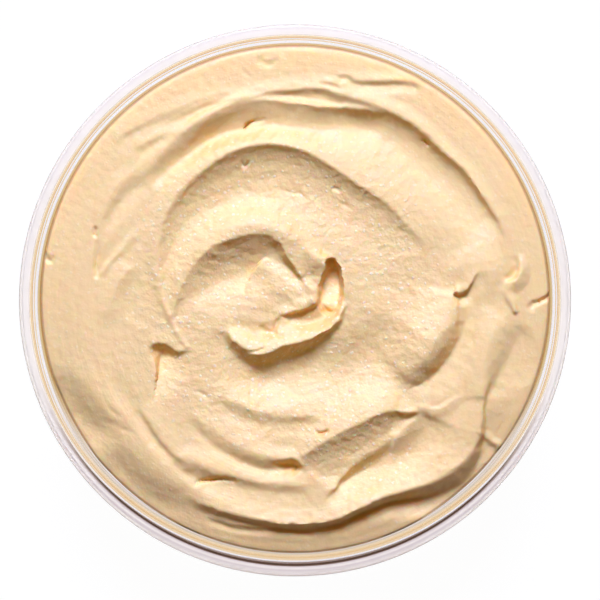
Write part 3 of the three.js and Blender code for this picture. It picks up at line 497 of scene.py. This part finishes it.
def sample_line(line):
    """The samples of a smooth curve through the points of a line."""
    points = np.array(line, float)
    ends = 2 * points[0] - points[1], 2 * points[-1] - points[-2]
    padded = np.vstack([ends[0], points, ends[1]])
    length = np.hypot(*np.diff(points, axis=0).T).sum()
    share = np.linspace(0, 1, math.ceil(length / LINE_STEP) + 1)
    place = share * (len(points) - 1)
    first = np.minimum(place.astype(int), len(points) - 2)
    t = (place - first)[:, None]
    a, b, c, d = (padded[first + i] for i in range(4))
    square = 2 * a - 5 * b + 4 * c - d
    cube = 3 * b - a - 3 * c + d
    at = (2 * b + (c - a) * t + square * t**2 + cube * t**3) / 2
    along = (c - a) + 2 * square * t + 3 * cube * t**2
    along /= np.hypot(*along.T)[:, None]
    return dict(at=at, along=along, share=share, length=length)


def beside_line(track, blend, x, y):
    """For points: the distance to the left of a line, the share of the way along it, and how
    far past an end. Nearby samples are averaged, which keeps the surface smooth."""
    left, share, past = (np.empty(len(x)) for _ in range(3))
    at, along, length = track["at"], track["along"], track["length"]
    for start in range(0, len(x), CHUNK):
        part = slice(start, start + CHUNK)
        dx = x[part, None] - at[:, 0]
        dy = y[part, None] - at[:, 1]
        squares = dx * dx + dy * dy
        weight = np.exp((squares.min(axis=1)[:, None] - squares) / (2 * blend * blend))
        weight /= weight.sum(axis=1)[:, None]
        left[part] = (weight * (dy * along[:, 0] - dx * along[:, 1])).sum(axis=1)
        share[part] = weight @ track["share"]
        before = -(dx[:, 0] * along[0, 0] + dy[:, 0] * along[0, 1])
        after = dx[:, -1] * along[-1, 0] + dy[:, -1] * along[-1, 1]
        first = 1 - smooth(share[part] * length / END_ZONE)
        last = 1 - smooth((1 - share[part]) * length / END_ZONE)
        past[part] = np.maximum(0, before) * first + np.maximum(0, after) * last
    return left, share, past


def taper(share, fade):
    first = smooth(share / fade[0]) if fade[0] > 0 else 1
    last = smooth((1 - share) / fade[1]) if fade[1] > 0 else 1
    return first * last


def fall_share(out, hollow):
    """How much of its fall a face has made: evenly rounded, or steepest at the crest where
    hollow is above 0, or steepest at the foot where it is below 0."""
    even = smooth(out)
    uneven = np.where(hollow > 0, 1 - (1 - out) ** 3, out**3)
    return even + np.abs(hollow) * (uneven - even)


def ridge_height(track, x, y, rise, face, back, dig, floor, facing=RIGHT, fade=FADE,
                 sharp=0.0, roll=0.0, hollow=0.0, blend=BLEND, end=END_LENGTH):
    left, share, past = beside_line(track, blend, x, y)
    in_front = left * facing
    high, low = size_at(rise, share), size_at(dig, share)
    out = np.clip(-in_front / size_at(back, share), 0, 1)
    behind = high * (1 - out) ** 2 * (1 + 2 * out * (1 - sharp))
    width = size_at(face, share)
    out = np.clip((in_front - width) / size_at(floor, share), 0, 1)
    recovery = (1 - roll) * smooth(out) + roll * (1 - (1 - out) ** 2)
    fall = fall_share(np.clip(in_front / width, 0, 1), size_at(hollow, share))
    before = high - (high + low) * fall + low * recovery
    height = np.where(in_front < 0, behind, before)
    return height * taper(share, fade) * (1 - smooth(past / end))


def groove_height(track, x, y, depth, width, fade=FADE, blend=BLEND, flat=0.0):
    left, share, past = beside_line(track, blend, x, y)
    out = np.clip(np.hypot(left, past) / size_at(width, share), 0, 1)
    deep = size_at(depth, share) * (1 - smooth((out - flat) / (1 - flat)))
    return -deep * taper(share, fade)


def reach_of(sizes):
    """The furthest that a stroke changes the surface from its line."""
    if "width" in sizes:
        return np.max(sizes["width"])
    return max(np.max(sizes["face"]) + np.max(sizes["floor"]), np.max(sizes["back"]))


def add_stroke(height, x, y, stroke, height_of):
    """Adds a stroke to the heights of the points (x, y) that it may reach."""
    sizes = {name: value for name, value in stroke.items() if name != "line"}
    track = sample_line(stroke["line"])
    reach = reach_of(sizes) + END_LENGTH + SEARCH_STEP * LINE_STEP
    near = np.zeros(len(x), bool)
    for at_x, at_y in track["at"][::SEARCH_STEP]:
        near |= (x - at_x) ** 2 + (y - at_y) ** 2 < reach**2
    height[near] += height_of(track, x[near], y[near], **sizes)


def waver(x, y, seed):
    """A smooth unevenness of about -1 to 1, made of waves that run every way."""
    draws = np.random.default_rng(seed)
    total = np.zeros_like(x)
    for _ in range(WAVES):
        way, phase = draws.uniform(0, 2 * np.pi, 2)
        length = draws.uniform(*WAVE_LENGTHS)
        total += np.sin((x * np.cos(way) + y * np.sin(way)) * 2 * np.pi / length + phase)
    return total / math.sqrt(WAVES)


def surface_height(x, y):
    """The height of the hummus above the underside of the tub."""
    radius = np.maximum(np.hypot(x, y), 1)

    def fall(sizes):
        return sizes["depth"] * smooth((radius - sizes["start"]) / sizes["width"])

    toward_low_side = ((1 - y / radius) / 2) ** LOW_SIDE_FOCUS
    height = HUMMUS_LEVEL - fall(LOW_SIDE) * toward_low_side - fall(EDGE_FALL)
    height += LUMP * waver(x, y, LUMP_SEED)
    shift_x, shift_y = (CRINKLE * waver(x, y, seed) for seed in CRINKLE_SEEDS)
    x, y = x + shift_x, y + shift_y
    for stroke in [*RIDGES.values(), *SMALL_RIDGES.values()]:
        add_stroke(height, x, y, stroke, ridge_height)
    for stroke in [*GROOVES.values(), *SMALL_GROOVES.values()]:
        add_stroke(height, x, y, stroke, groove_height)
    return height


def spot_share(x, y, spot):
    """How far inside a round spot: 1 in the spot and 0 outside it."""
    out = np.hypot((x - spot["x"]) * spot["across"], (y - spot["y"]) * spot["along"])
    return 1 - smooth((out - spot["radius"]) / spot["width"])


def grain_share(x, y):
    """How grainy the surface is: most where the spoon has drawn it last."""
    most = np.maximum(spot_share(x, y, GRAINY_BOWL), spot_share(x, y, GRAINY_FACET))
    return LEAST_GRAIN + (1 - LEAST_GRAIN) * most


# ---- the inside of the tub ----
def inner_radius(z):
    return INNER_RIM_RADIUS - (TUB_HEIGHT - z) * math.tan(DRAFT)


def arc(r, z, radius, start, stop, steps):
    """An arc as points (r, z), from one angle to another in degrees."""
    angles = np.radians(np.linspace(start, stop, steps + 1))
    return [(r + radius * math.cos(a), z + radius * math.sin(a)) for a in angles]


def corner(floor, radius, offset, steps):
    """The rounded corner between a floor and a wall that is offset outward."""
    z = floor + radius
    top = z - radius * math.sin(DRAFT)
    r = inner_radius(top) + offset - radius * math.cos(DRAFT)
    return arc(r, z, radius, -90, -math.degrees(DRAFT), steps)


# ---- meshes ----
def make_object(name, vertices, faces, material, sharp_degrees=None):
    mesh = bpy.data.meshes.new(name)
    mesh.from_pydata([tuple(v) for v in vertices * MM], [], faces)
    mesh.validate()
    mesh.materials.append(material)
    mesh.shade_smooth()
    if sharp_degrees is not None:
        mesh.set_sharp_from_angle(angle=math.radians(sharp_degrees))
    piece = bpy.data.objects.new(name, mesh)
    bpy.context.scene.collection.objects.link(piece)
    return piece


def turn_angles(count):
    """Angles at even steps round a full turn."""
    return np.arange(count) * 2 * math.pi / count


def lathe(profile, segments):
    """A profile of points (r, z) from axis to axis, turned about Z."""
    angles = turn_angles(segments)
    vertices, rows = [], []
    for r, z in profile:
        if r == 0:
            rows.append([len(vertices)] * segments)
            vertices.append((0, 0, z))
        else:
            rows.append(list(range(len(vertices), len(vertices) + segments)))
            vertices += [(r * math.cos(a), r * math.sin(a), z) for a in angles]
    faces = []
    for low, high in zip(rows, rows[1:]):
        for i in range(segments):
            j = (i + 1) % segments
            face = [low[i], low[j], high[j], high[i]]
            faces.append(list(dict.fromkeys(face)))
    return np.array(vertices, float), faces


def build_tub(material):
    bead = INNER_RIM_RADIUS + BEAD_RADIUS
    edge = RIM_RADIUS - RIM_EDGE_RADIUS
    under_flange = FLANGE_TOP - WALL
    floor = FOOT_RECESS + WALL
    profile = [
        (0, FOOT_RECESS),
        (FOOT_RECESS_RADIUS, FOOT_RECESS),
        (FOOT_RECESS_RADIUS + FOOT_RECESS, 0),
        *corner(0, OUTER_CORNER, WALL, CORNER_STEPS),
        (inner_radius(under_flange) + WALL, under_flange),
        (edge, under_flange),
        (edge, SKIRT_BOTTOM),
        (RIM_RADIUS, SKIRT_BOTTOM),
        *arc(edge, FLANGE_TOP - RIM_EDGE_RADIUS, RIM_EDGE_RADIUS, 0, 90, RIM_EDGE_STEPS),
        (bead + BEAD_RADIUS, FLANGE_TOP),
        *arc(bead, TUB_HEIGHT - BEAD_RADIUS, BEAD_RADIUS, 0, 180, BEAD_STEPS),
        *corner(floor, OUTER_CORNER - WALL, 0, CORNER_STEPS)[::-1],
        (0, floor),
    ]
    vertices, faces = lathe(profile, TUB_SEGMENTS)
    return make_object("clear_tub", vertices, faces, material, sharp_degrees=TUB_SHARP)


def ring_share(share):
    """Where a ring lies: the rings are closer together in the middle."""
    return share * (MIDDLE_SPACING + (1 - MIDDLE_SPACING) * share)


def surface_sheet():
    """The points (x, y) of the surface, from the middle outward, ring by ring."""
    outer = inner_radius(HUMMUS_LEVEL) + INTO_WALL
    points = [(0.0, 0.0)]
    for ring in range(1, RINGS + 1):
        angles = turn_angles(RING_GROWTH * ring)
        r = outer * ring_share(ring / RINGS)
        points += list(zip(r * np.cos(angles), r * np.sin(angles)))
    return np.array(points)


def first_of(ring):
    """Which point of the sheet is the first of a ring."""
    return 0 if ring == 0 else 1 + RING_GROWTH * ring * (ring - 1) // 2


def sheet_faces():
    faces = []
    for ring in range(1, RINGS + 1):
        outer, inner = first_of(ring), first_of(ring - 1)
        around = RING_GROWTH * ring
        around_inner = max(1, around - RING_GROWTH)
        for step in range(around):
            within = step - step // ring
            a = inner + within % around_inner
            b = outer + step
            c = outer + (step + 1) % around
            faces.append((a, b, c))
            if step % ring < ring - 1:
                faces.append((a, c, inner + (within + 1) % around_inner))
    return faces


def build_hummus(material):
    plan = surface_sheet()
    heights = surface_height(plan[:, 0], plan[:, 1])
    grain = grain_share(plan[:, 0], plan[:, 1])
    edge = first_of(RINGS)
    around = RING_GROWTH * RINGS
    angles = turn_angles(around)
    circle = np.column_stack([np.cos(angles), np.sin(angles)])
    top = np.column_stack([plan, heights])
    reach = inner_radius(heights[edge:]) + INTO_WALL
    top[edge:, :2] = reach[:, None] * circle
    floor = FOOT_RECESS + WALL - INTO_WALL
    inner_corner = OUTER_CORNER - WALL + INTO_WALL
    rows = corner(floor, inner_corner, INTO_WALL, HUMMUS_CORNER_STEPS)[::-1]
    vertices = [top]
    faces = sheet_faces()
    above = edge
    for count, (r, z) in enumerate(rows):
        row = len(top) + count * around
        vertices.append(np.column_stack([r * circle, np.full(around, z)]))
        for i in range(around):
            j = (i + 1) % around
            faces.append((above + i, row + i, row + j, above + j))
        above = row
    middle = len(top) + len(rows) * around
    vertices.append(np.array([[0, 0, floor]]))
    faces += [(above + i, middle, above + (i + 1) % around) for i in range(around)]
    vertices = np.vstack(vertices)
    piece = make_object("hummus_filling", vertices, faces, material, sharp_degrees=HUMMUS_SHARP)
    attribute = piece.data.attributes.new("grain", "FLOAT", "POINT")
    values = np.zeros(len(piece.data.vertices))
    values[:len(grain)] = grain
    attribute.data.foreach_set("value", values.astype(np.float32))
    return piece


# ---- node trees ----
MIX_INPUTS = (0, 6, 7)  # the sockets of a Mix node that mixes colours
MIX_RESULT = 2


class Nodes:
    """The nodes of a material or of the world, with a short way to add each common kind."""

    def __init__(self, tree):
        self.tree = tree

    def set_inputs(self, node, inputs):
        """Gives each input its number or colour, or the output that it is linked to."""
        for name, value in inputs.items():
            socket = node.inputs[name]
            if isinstance(value, bpy.types.NodeSocket):
                self.tree.links.new(value, socket)
            else:
                socket.default_value = value

    def add(self, kind, inputs=None, **settings):
        node = self.tree.nodes.new(kind)
        for name, value in settings.items():
            setattr(node, name, value)
        self.set_inputs(node, inputs or {})
        return node

    def math(self, operation, *values, clamp=False):
        inputs = dict(enumerate(values))
        return self.add("ShaderNodeMath", inputs, operation=operation, use_clamp=clamp).outputs[0]

    def vector(self, operation, *vectors):
        node = self.add("ShaderNodeVectorMath", dict(enumerate(vectors)), operation=operation)
        gives_number = operation in ("LENGTH", "DOT_PRODUCT")
        return node.outputs["Value" if gives_number else "Vector"]

    def parts(self, vector):
        return self.add("ShaderNodeSeparateXYZ", {"Vector": vector}).outputs

    def from_axis(self, place):
        """The vector from the axis to a place, and its length."""
        across = self.vector("MULTIPLY", place, (1, 1, 0))
        return across, self.vector("LENGTH", across)

    def slope(self, value, span, low=0.0, high=1.0, rounded=False):
        """A number that goes from low to high as the value goes through its span."""
        inputs = {"Value": value, "From Min": span[0], "From Max": span[1], "To Min": low, "To Max": high}
        shape = "SMOOTHSTEP" if rounded else "LINEAR"
        return self.add("ShaderNodeMapRange", inputs, interpolation_type=shape).outputs[0]

    def step(self, value, span):
        return self.slope(value, span, rounded=True)

    def noise(self, place, scale, detail):
        return self.add("ShaderNodeTexNoise", {"Vector": place, "Scale": scale, "Detail": detail}).outputs

    def mix(self, share, first, second):
        inputs = dict(zip(MIX_INPUTS, (share, first, second)))
        return self.add("ShaderNodeMix", inputs, data_type="RGBA").outputs[MIX_RESULT]

    def colours(self, value, stops):
        """The colour that follows a value through stops, each a value from 0 to 1 and a colour."""
        node = self.add("ShaderNodeValToRGB", {"Fac": value})
        elements = node.color_ramp.elements
        while len(elements) < len(stops):
            elements.new(1.0)
        for element, (position, colour) in zip(elements, stops):
            element.position = position
            element.color = colour
        return node.outputs["Color"]


def new_material(name):
    material = bpy.data.materials.new(name)
    material.use_nodes = True
    tree = material.node_tree
    return material, Nodes(tree), tree.nodes["Principled BSDF"]


# ---- the look of the hummus ----
# A span is two values between which something changes. A noise's scale is in waves per metre.
PASTE_TONES = ((0.925, 0.685, 0.31, 1), (0.95, 0.725, 0.35, 1))
PATCHES = dict(scale=90.0, detail=4.0)  # of the two tones
# the painted shade of steep slopes, and the slopes where it shows
STEEP_SHADE_TONE = (0.91, 0.62, 0.235, 1)
STEEP_SHADE_SPAN = (0.85, 0.62)  # of how far the surface faces upward
SIDE_SPAN = (0.02, 0.2)  # of the same, from the filling's side to its top
# painted shade along the line where the paste meets the wall
WALL_SHADE_TONE = (0.60, 0.40, 0.17, 1)
WALL_SHADE_SPAN = (0.5 * MM, 0.1 * MM)  # of the distance to the wall
# specks of coarser meal, with a painted wet glint in their colour
SPECK_AND_GLINT_TONE = (1.0, 0.90, 0.68, 1)
SPECK_AND_GLINT_SHARE = 0.7
SPECK_CELLS = 950.0  # per metre
SPECK_CHOICE = (0.5, 0.62)  # the span of a cell's chance value, from empty cells to full ones
SPECK_EDGE = (0.42, 0.1)  # from a speck's edge to its middle, in cells
SPECK_SHIFT = 0.7 * MM  # how far the outlines of the specks stray
SPECK_SHIFTS = dict(scale=1800.0, detail=2.0)
SMEARS = dict(scale=800.0, detail=2.0)
SMEAR_STRETCH = 0.09
MEAL = dict(scale=560.0, detail=2.0)
MEAL_PER_GRAIN = 1.25
LEAST_MEAL = 0.5
SMEAR_RELIEF = 0.35  # against 1 for the meal
SPECK_RELIEF = 0.2
RELIEF_HEIGHT = 0.35 * MM
RELIEF_STRENGTH = 0.9
GLOSSY_PATCHES = dict(scale=300.0, detail=3.0)
GLOSS_SPAN = (0.35, 0.7)
PASTE_ROUGHNESS = 0.58
GLOSS = 0.1  # how much smoother the glossy patches are


def smear_pattern(nodes, place):
    """Smears round the tub: a noise that changes slowly along the circles."""
    parts = nodes.parts(place)
    stretched = nodes.add("ShaderNodeCombineXYZ", {
        "X": nodes.math("MULTIPLY", parts["X"], SMEAR_STRETCH),
        "Y": nodes.math("MULTIPLY", parts["Y"], SMEAR_STRETCH),
        "Z": nodes.vector("LENGTH", place),
    })
    return nodes.noise(stretched.outputs[0], **SMEARS)[0]


def speck_pattern(nodes, place, grain):
    """Pale wet specks of coarser meal, whose colour also holds a painted glint."""
    shift = nodes.vector("MULTIPLY", nodes.noise(place, **SPECK_SHIFTS)["Color"], (SPECK_SHIFT,) * 3)
    shifted = nodes.vector("ADD", place, shift)
    cells = nodes.add("ShaderNodeTexVoronoi", {"Vector": shifted, "Scale": SPECK_CELLS}).outputs
    chosen = nodes.step(cells["Color"], SPECK_CHOICE)
    speck = nodes.math("MULTIPLY", nodes.step(cells["Distance"], SPECK_EDGE), chosen)
    return nodes.math("MULTIPLY", speck, grain)


def paste_tone_and_painted_shade(nodes, place, speck):
    tone = nodes.mix(nodes.noise(place, **PATCHES)[0], *PASTE_TONES)
    # painted shade: a deeper golden brown on steep slopes, the colour the paste shows in shade
    upright = nodes.parts(nodes.add("ShaderNodeTexCoord").outputs["Normal"])["Z"]
    on_top = nodes.step(upright, SIDE_SPAN)
    steep = nodes.math("MULTIPLY", nodes.step(upright, STEEP_SHADE_SPAN), on_top)
    tone = nodes.mix(steep, tone, STEEP_SHADE_TONE)
    # pale specks of coarser meal, made paler still by a painted wet glint
    tone = nodes.mix(nodes.math("MULTIPLY", speck, SPECK_AND_GLINT_SHARE), tone, SPECK_AND_GLINT_TONE)
    # painted shade: darker where it meets the wall
    height = nodes.parts(place)["Z"]
    wall_radius = nodes.math("MULTIPLY_ADD", height, math.tan(DRAFT), inner_radius(0) * MM)
    to_wall = nodes.math("SUBTRACT", wall_radius, nodes.from_axis(place)[1])
    edge = nodes.math("MULTIPLY", nodes.step(to_wall, WALL_SHADE_SPAN), on_top)
    return nodes.mix(edge, tone, WALL_SHADE_TONE)


def paste_roughness(nodes, place):
    gloss = nodes.step(nodes.noise(place, **GLOSSY_PATCHES)[0], GLOSS_SPAN)
    return nodes.math("SUBTRACT", PASTE_ROUGHNESS, nodes.math("MULTIPLY", gloss, GLOSS))


def paste_relief(nodes, place, grain, speck):
    graininess = nodes.math("MAXIMUM", nodes.math("MULTIPLY", grain, MEAL_PER_GRAIN), LEAST_MEAL)
    meal = nodes.math("MULTIPLY", nodes.noise(place, **MEAL)[0], graininess)
    smears = nodes.math("MULTIPLY", smear_pattern(nodes, place), SMEAR_RELIEF)
    specks = nodes.math("MULTIPLY", speck, SPECK_RELIEF)
    relief = nodes.math("ADD", nodes.math("ADD", meal, smears), specks)
    return nodes.add("ShaderNodeBump", {
        "Height": relief, "Strength": RELIEF_STRENGTH, "Distance": RELIEF_HEIGHT}).outputs["Normal"]


def hummus_material():
    material, nodes, shader = new_material("hummus")
    place = nodes.add("ShaderNodeTexCoord").outputs["Object"]
    grain = nodes.add("ShaderNodeAttribute", attribute_name="grain").outputs["Fac"]
    speck = speck_pattern(nodes, place, grain)
    nodes.set_inputs(shader, {
        "Base Color": paste_tone_and_painted_shade(nodes, place, speck),
        "Roughness": paste_roughness(nodes, place),
        "Specular IOR Level": 0.5,
        "Subsurface Weight": 1.0,
        "Subsurface Radius": (1.0, 0.45, 0.2),
        "Subsurface Scale": 0.45 * MM,
        "Normal": paste_relief(nodes, place, grain, speck),
    })
    return material


# ---- the look of the tub ----
CLEAR = (0.99, 0.93, 0.82, 1)
WHITE = (0.98, 0.97, 0.99, 1)
TAN = (0.88, 0.70, 0.46, 1)
DARK_TAN = (0.74, 0.56, 0.30, 1)
# colours of painted dark reflection and shadow toward -Y
SHADED_GREY = (0.74, 0.66, 0.62, 1)
SHADOW_BROWN = (0.28, 0.20, 0.15, 1)

# painted reflections: what the rim's curves would show of the hummus and the light, as rings from one
# radius to the next; the first ring, where the hummus meets the wall, is painted shade
RIM_REFLECTIONS = (
    (54.9, DARK_TAN), (55.3, DARK_TAN), (55.42, WHITE), (55.97, WHITE), (56.03, TAN), (56.12, TAN),
    (56.18, WHITE), (56.25, WHITE), (56.32, TAN), (56.42, TAN), (56.55, CLEAR),
)
# the same toward -Y, darker there with painted dark reflection and shadow
LOW_RIM_REFLECTIONS = (
    (54.65, WHITE), (54.8, SHADED_GREY), (55.1, CLEAR), (55.45, TAN), (55.65, TAN), (55.8, WHITE),
    (56.1, WHITE), (56.25, SHADOW_BROWN), (56.6, SHADOW_BROWN), (56.9, SHADED_GREY), (57.3, CLEAR), (57.7, SHADED_GREY),
    (58.3, CLEAR), (58.8, SHADED_GREY),
)
TINTS_START = LOW_RIM_REFLECTIONS[0][0]
LOW_RIM_SPAN = (-0.2, -0.8)  # of Y on a circle of radius 1, from the one list to the other
LOW_RIM_BEND = 1.3  # how far outward the rings of the second list bend on their way to the sides

# radii between which the plastic changes
SEE_THROUGH_START = (54.4, 54.6)
MILKY_START = (55.0, 55.2)
BEAD_END = (56.7, 57.1)
CLEAR_SHARE = 0.75  # of the light goes through clear plastic
MILKY_SHARE = 0.35  # and through milky plastic
SEE_THROUGH_SHARE = 0.9
LAMP_TINT = (0.97, 0.96, 0.96, 1)
BOUNCED_LIGHT_SHARE = 0.55


def radius_slope(nodes, radius, span, low, high):
    return nodes.slope(radius, (span[0] * MM, span[1] * MM), low, high)


def clearness(nodes, radius):
    """How clear the plastic is: milky from where the hummus ends up to the rim's bead."""
    inner = radius_slope(nodes, radius, MILKY_START, CLEAR_SHARE, MILKY_SHARE)
    outer = radius_slope(nodes, radius, BEAD_END, 0.0, CLEAR_SHARE - MILKY_SHARE)
    return nodes.math("ADD", inner, outer)


def see_through(nodes, radius):
    """How much shows straight through the plastic: most of it from the hummus to the bead."""
    begun = radius_slope(nodes, radius, SEE_THROUGH_START, 0.0, SEE_THROUGH_SHARE)
    ended = radius_slope(nodes, radius, BEAD_END, 0.0, SEE_THROUGH_SHARE)
    return nodes.math("SUBTRACT", begun, ended)


def reflection_rings(nodes, radius, tints):
    share = radius_slope(nodes, radius, (TINTS_START, RIM_RADIUS), 0.0, 1.0)
    width = RIM_RADIUS - TINTS_START
    return nodes.colours(share, [((at - TINTS_START) / width, tint) for at, tint in tints])


def painted_rim_reflections(nodes, across, radius):
    """The tint of the plastic: clear, with fine rings of painted reflection along the rim, darker toward
    -Y with painted shadow.
    """
    y = nodes.parts(nodes.vector("NORMALIZE", across))["Y"]
    bend = nodes.slope(y, (-1.0, 0.0), 0.0, LOW_RIM_BEND * MM)
    rings = reflection_rings(nodes, radius, RIM_REFLECTIONS)
    low_rings = reflection_rings(nodes, nodes.math("SUBTRACT", radius, bend), LOW_RIM_REFLECTIONS)
    return nodes.mix(nodes.step(y, LOW_RIM_SPAN), rings, low_rings)


def tub_material():
    material, nodes, shader = new_material("clear_plastic")
    across, radius = nodes.from_axis(nodes.add("ShaderNodeTexCoord").outputs["Object"])
    # rings of painted reflection and shadow on the rim
    tint = painted_rim_reflections(nodes, across, radius)
    nodes.set_inputs(shader, {
        "Base Color": tint,
        "Roughness": 0.06,
        "IOR": 1.2,
        "Transmission Weight": clearness(nodes, radius),
        "Subsurface Weight": 1.0,
        "Subsurface Radius": (1.0, 1.0, 1.0),
        "Subsurface Scale": 3 * MM,
    })
    # Light on its way to the hummus or the floor goes straight through with less tint: all of the
    # lamp's light, and a good share of the rest.
    path = nodes.add("ShaderNodeLightPath").outputs
    lighting = nodes.math(
        "MULTIPLY_ADD", path["Diffuse Depth"], BOUNCED_LIGHT_SHARE, path["Is Shadow Ray"], clamp=True)
    straight = nodes.add("ShaderNodeBsdfTransparent", {"Color": nodes.mix(lighting, tint, LAMP_TINT)})
    share = nodes.math("ADD", lighting, see_through(nodes, radius), clamp=True)
    both = nodes.add("ShaderNodeMixShader", {
        "Fac": share, 1: shader.outputs[0], 2: straight.outputs[0]})
    nodes.set_inputs(nodes.tree.nodes["Material Output"], {"Surface": both.outputs[0]})
    return material


# ---- the floor ----
FLOOR_REACH = 1500.0  # from its middle to each side
FLOOR_GLOW = 0.98
BOUNCED_FLOOR_GLOW = 0.4


def floor_material():
    material, nodes, shader = new_material("floor")
    bounces = nodes.add("ShaderNodeLightPath").outputs
    count = nodes.math("ADD", bounces["Diffuse Depth"], bounces["Glossy Depth"])
    nodes.set_inputs(shader, {
        "Base Color": (0.03, 0.03, 0.03, 1),
        "Roughness": 0.9,
        "Specular IOR Level": 0.0,
        "Emission Color": (1, 1, 1, 1),
        # Once it has left a surface, light finds the floor darker than the camera does.
        "Emission Strength": nodes.slope(count, (0.0, 1.0), FLOOR_GLOW, BOUNCED_FLOOR_GLOW),
    })
    return material


def build_floor():
    corners = np.array([(-1, -1, 0), (1, -1, 0), (1, 1, 0), (-1, 1, 0)]) * FLOOR_REACH
    floor = make_object("floor", corners, [(0, 1, 2, 3)], floor_material())


# ---- light and camera ----
KEY_AZIMUTH = 92  # degrees from +X toward +Y
KEY_ELEVATION = 46
KEY_DISTANCE = 2.0  # metres, as is its size
KEY_SIZE = 0.85
KEY_POWER = 52
KEY_COLOUR = (0.895, 0.98, 1.47)
SKY_COLOURS = ((0.0, (0.05, 0.03, 0.015, 1)), (0.6, (1.0, 0.41, 0.03, 1)))
SKY_SLANT = (0, 0.5, 0.5)  # how much a direction's Y and Z count toward the brighter colour
SKY_STRENGTH = 0.31
IMAGE_SIDE = 600  # pixels, as are the next two
RIM_SPAN = 553  # the rim's width in the image
RIM_CENTRE = (295, 300.4)  # and its middle, from the left and from the top
CAMERA_HEIGHT = 750.0  # above the rim
SENSOR = 36.0


def build_key_light():
    light = bpy.data.lights.new("key", "AREA")
    light.shape = "DISK"
    light.size = KEY_SIZE
    light.energy = KEY_POWER
    light.color = KEY_COLOUR
    lamp = bpy.data.objects.new("key", light)
    bpy.context.scene.collection.objects.link(lamp)
    azimuth = math.radians(KEY_AZIMUTH)
    elevation = math.radians(KEY_ELEVATION)
    across = KEY_DISTANCE * math.cos(elevation)
    up = KEY_DISTANCE * math.sin(elevation) + TUB_HEIGHT * MM
    lamp.location = (across * math.cos(azimuth), across * math.sin(azimuth), up)
    lamp.rotation_euler = (math.pi / 2 - elevation, 0, azimuth + math.pi / 2)
    lamp.visible_camera = False


def build_world():
    world = bpy.data.worlds.new("studio")
    bpy.context.scene.world = world
    world.use_nodes = True
    nodes = Nodes(world.node_tree)
    direction = nodes.add("ShaderNodeTexCoord").outputs["Generated"]
    slant = nodes.vector("DOT_PRODUCT", direction, SKY_SLANT)
    nodes.set_inputs(world.node_tree.nodes["Background"], {
        "Color": nodes.colours(slant, SKY_COLOURS), "Strength": SKY_STRENGTH})


def build_camera():
    data = bpy.data.cameras.new("camera")
    camera = bpy.data.objects.new("camera", data)
    bpy.context.scene.collection.objects.link(camera)
    camera.location = (0, 0, (TUB_HEIGHT + CAMERA_HEIGHT) * MM)
    data.sensor_width = SENSOR
    view_width = 2 * RIM_RADIUS * IMAGE_SIDE / RIM_SPAN
    data.lens = SENSOR * CAMERA_HEIGHT / view_width
    data.shift_x = (IMAGE_SIDE / 2 - RIM_CENTRE[0]) / IMAGE_SIDE
    data.shift_y = (RIM_CENTRE[1] - IMAGE_SIDE / 2) / IMAGE_SIDE
    bpy.context.scene.camera = camera


tub = build_tub(tub_material())
hummus = build_hummus(hummus_material())
for piece, node, slot in ((tub, "tub", "clear_plastic"), (hummus, "hummus", "hummus")):
    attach(piece, "root")
    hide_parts(node)

build_floor()
build_world()
build_key_light()
build_camera()
bpy.context.scene.view_settings.view_transform = "Standard"
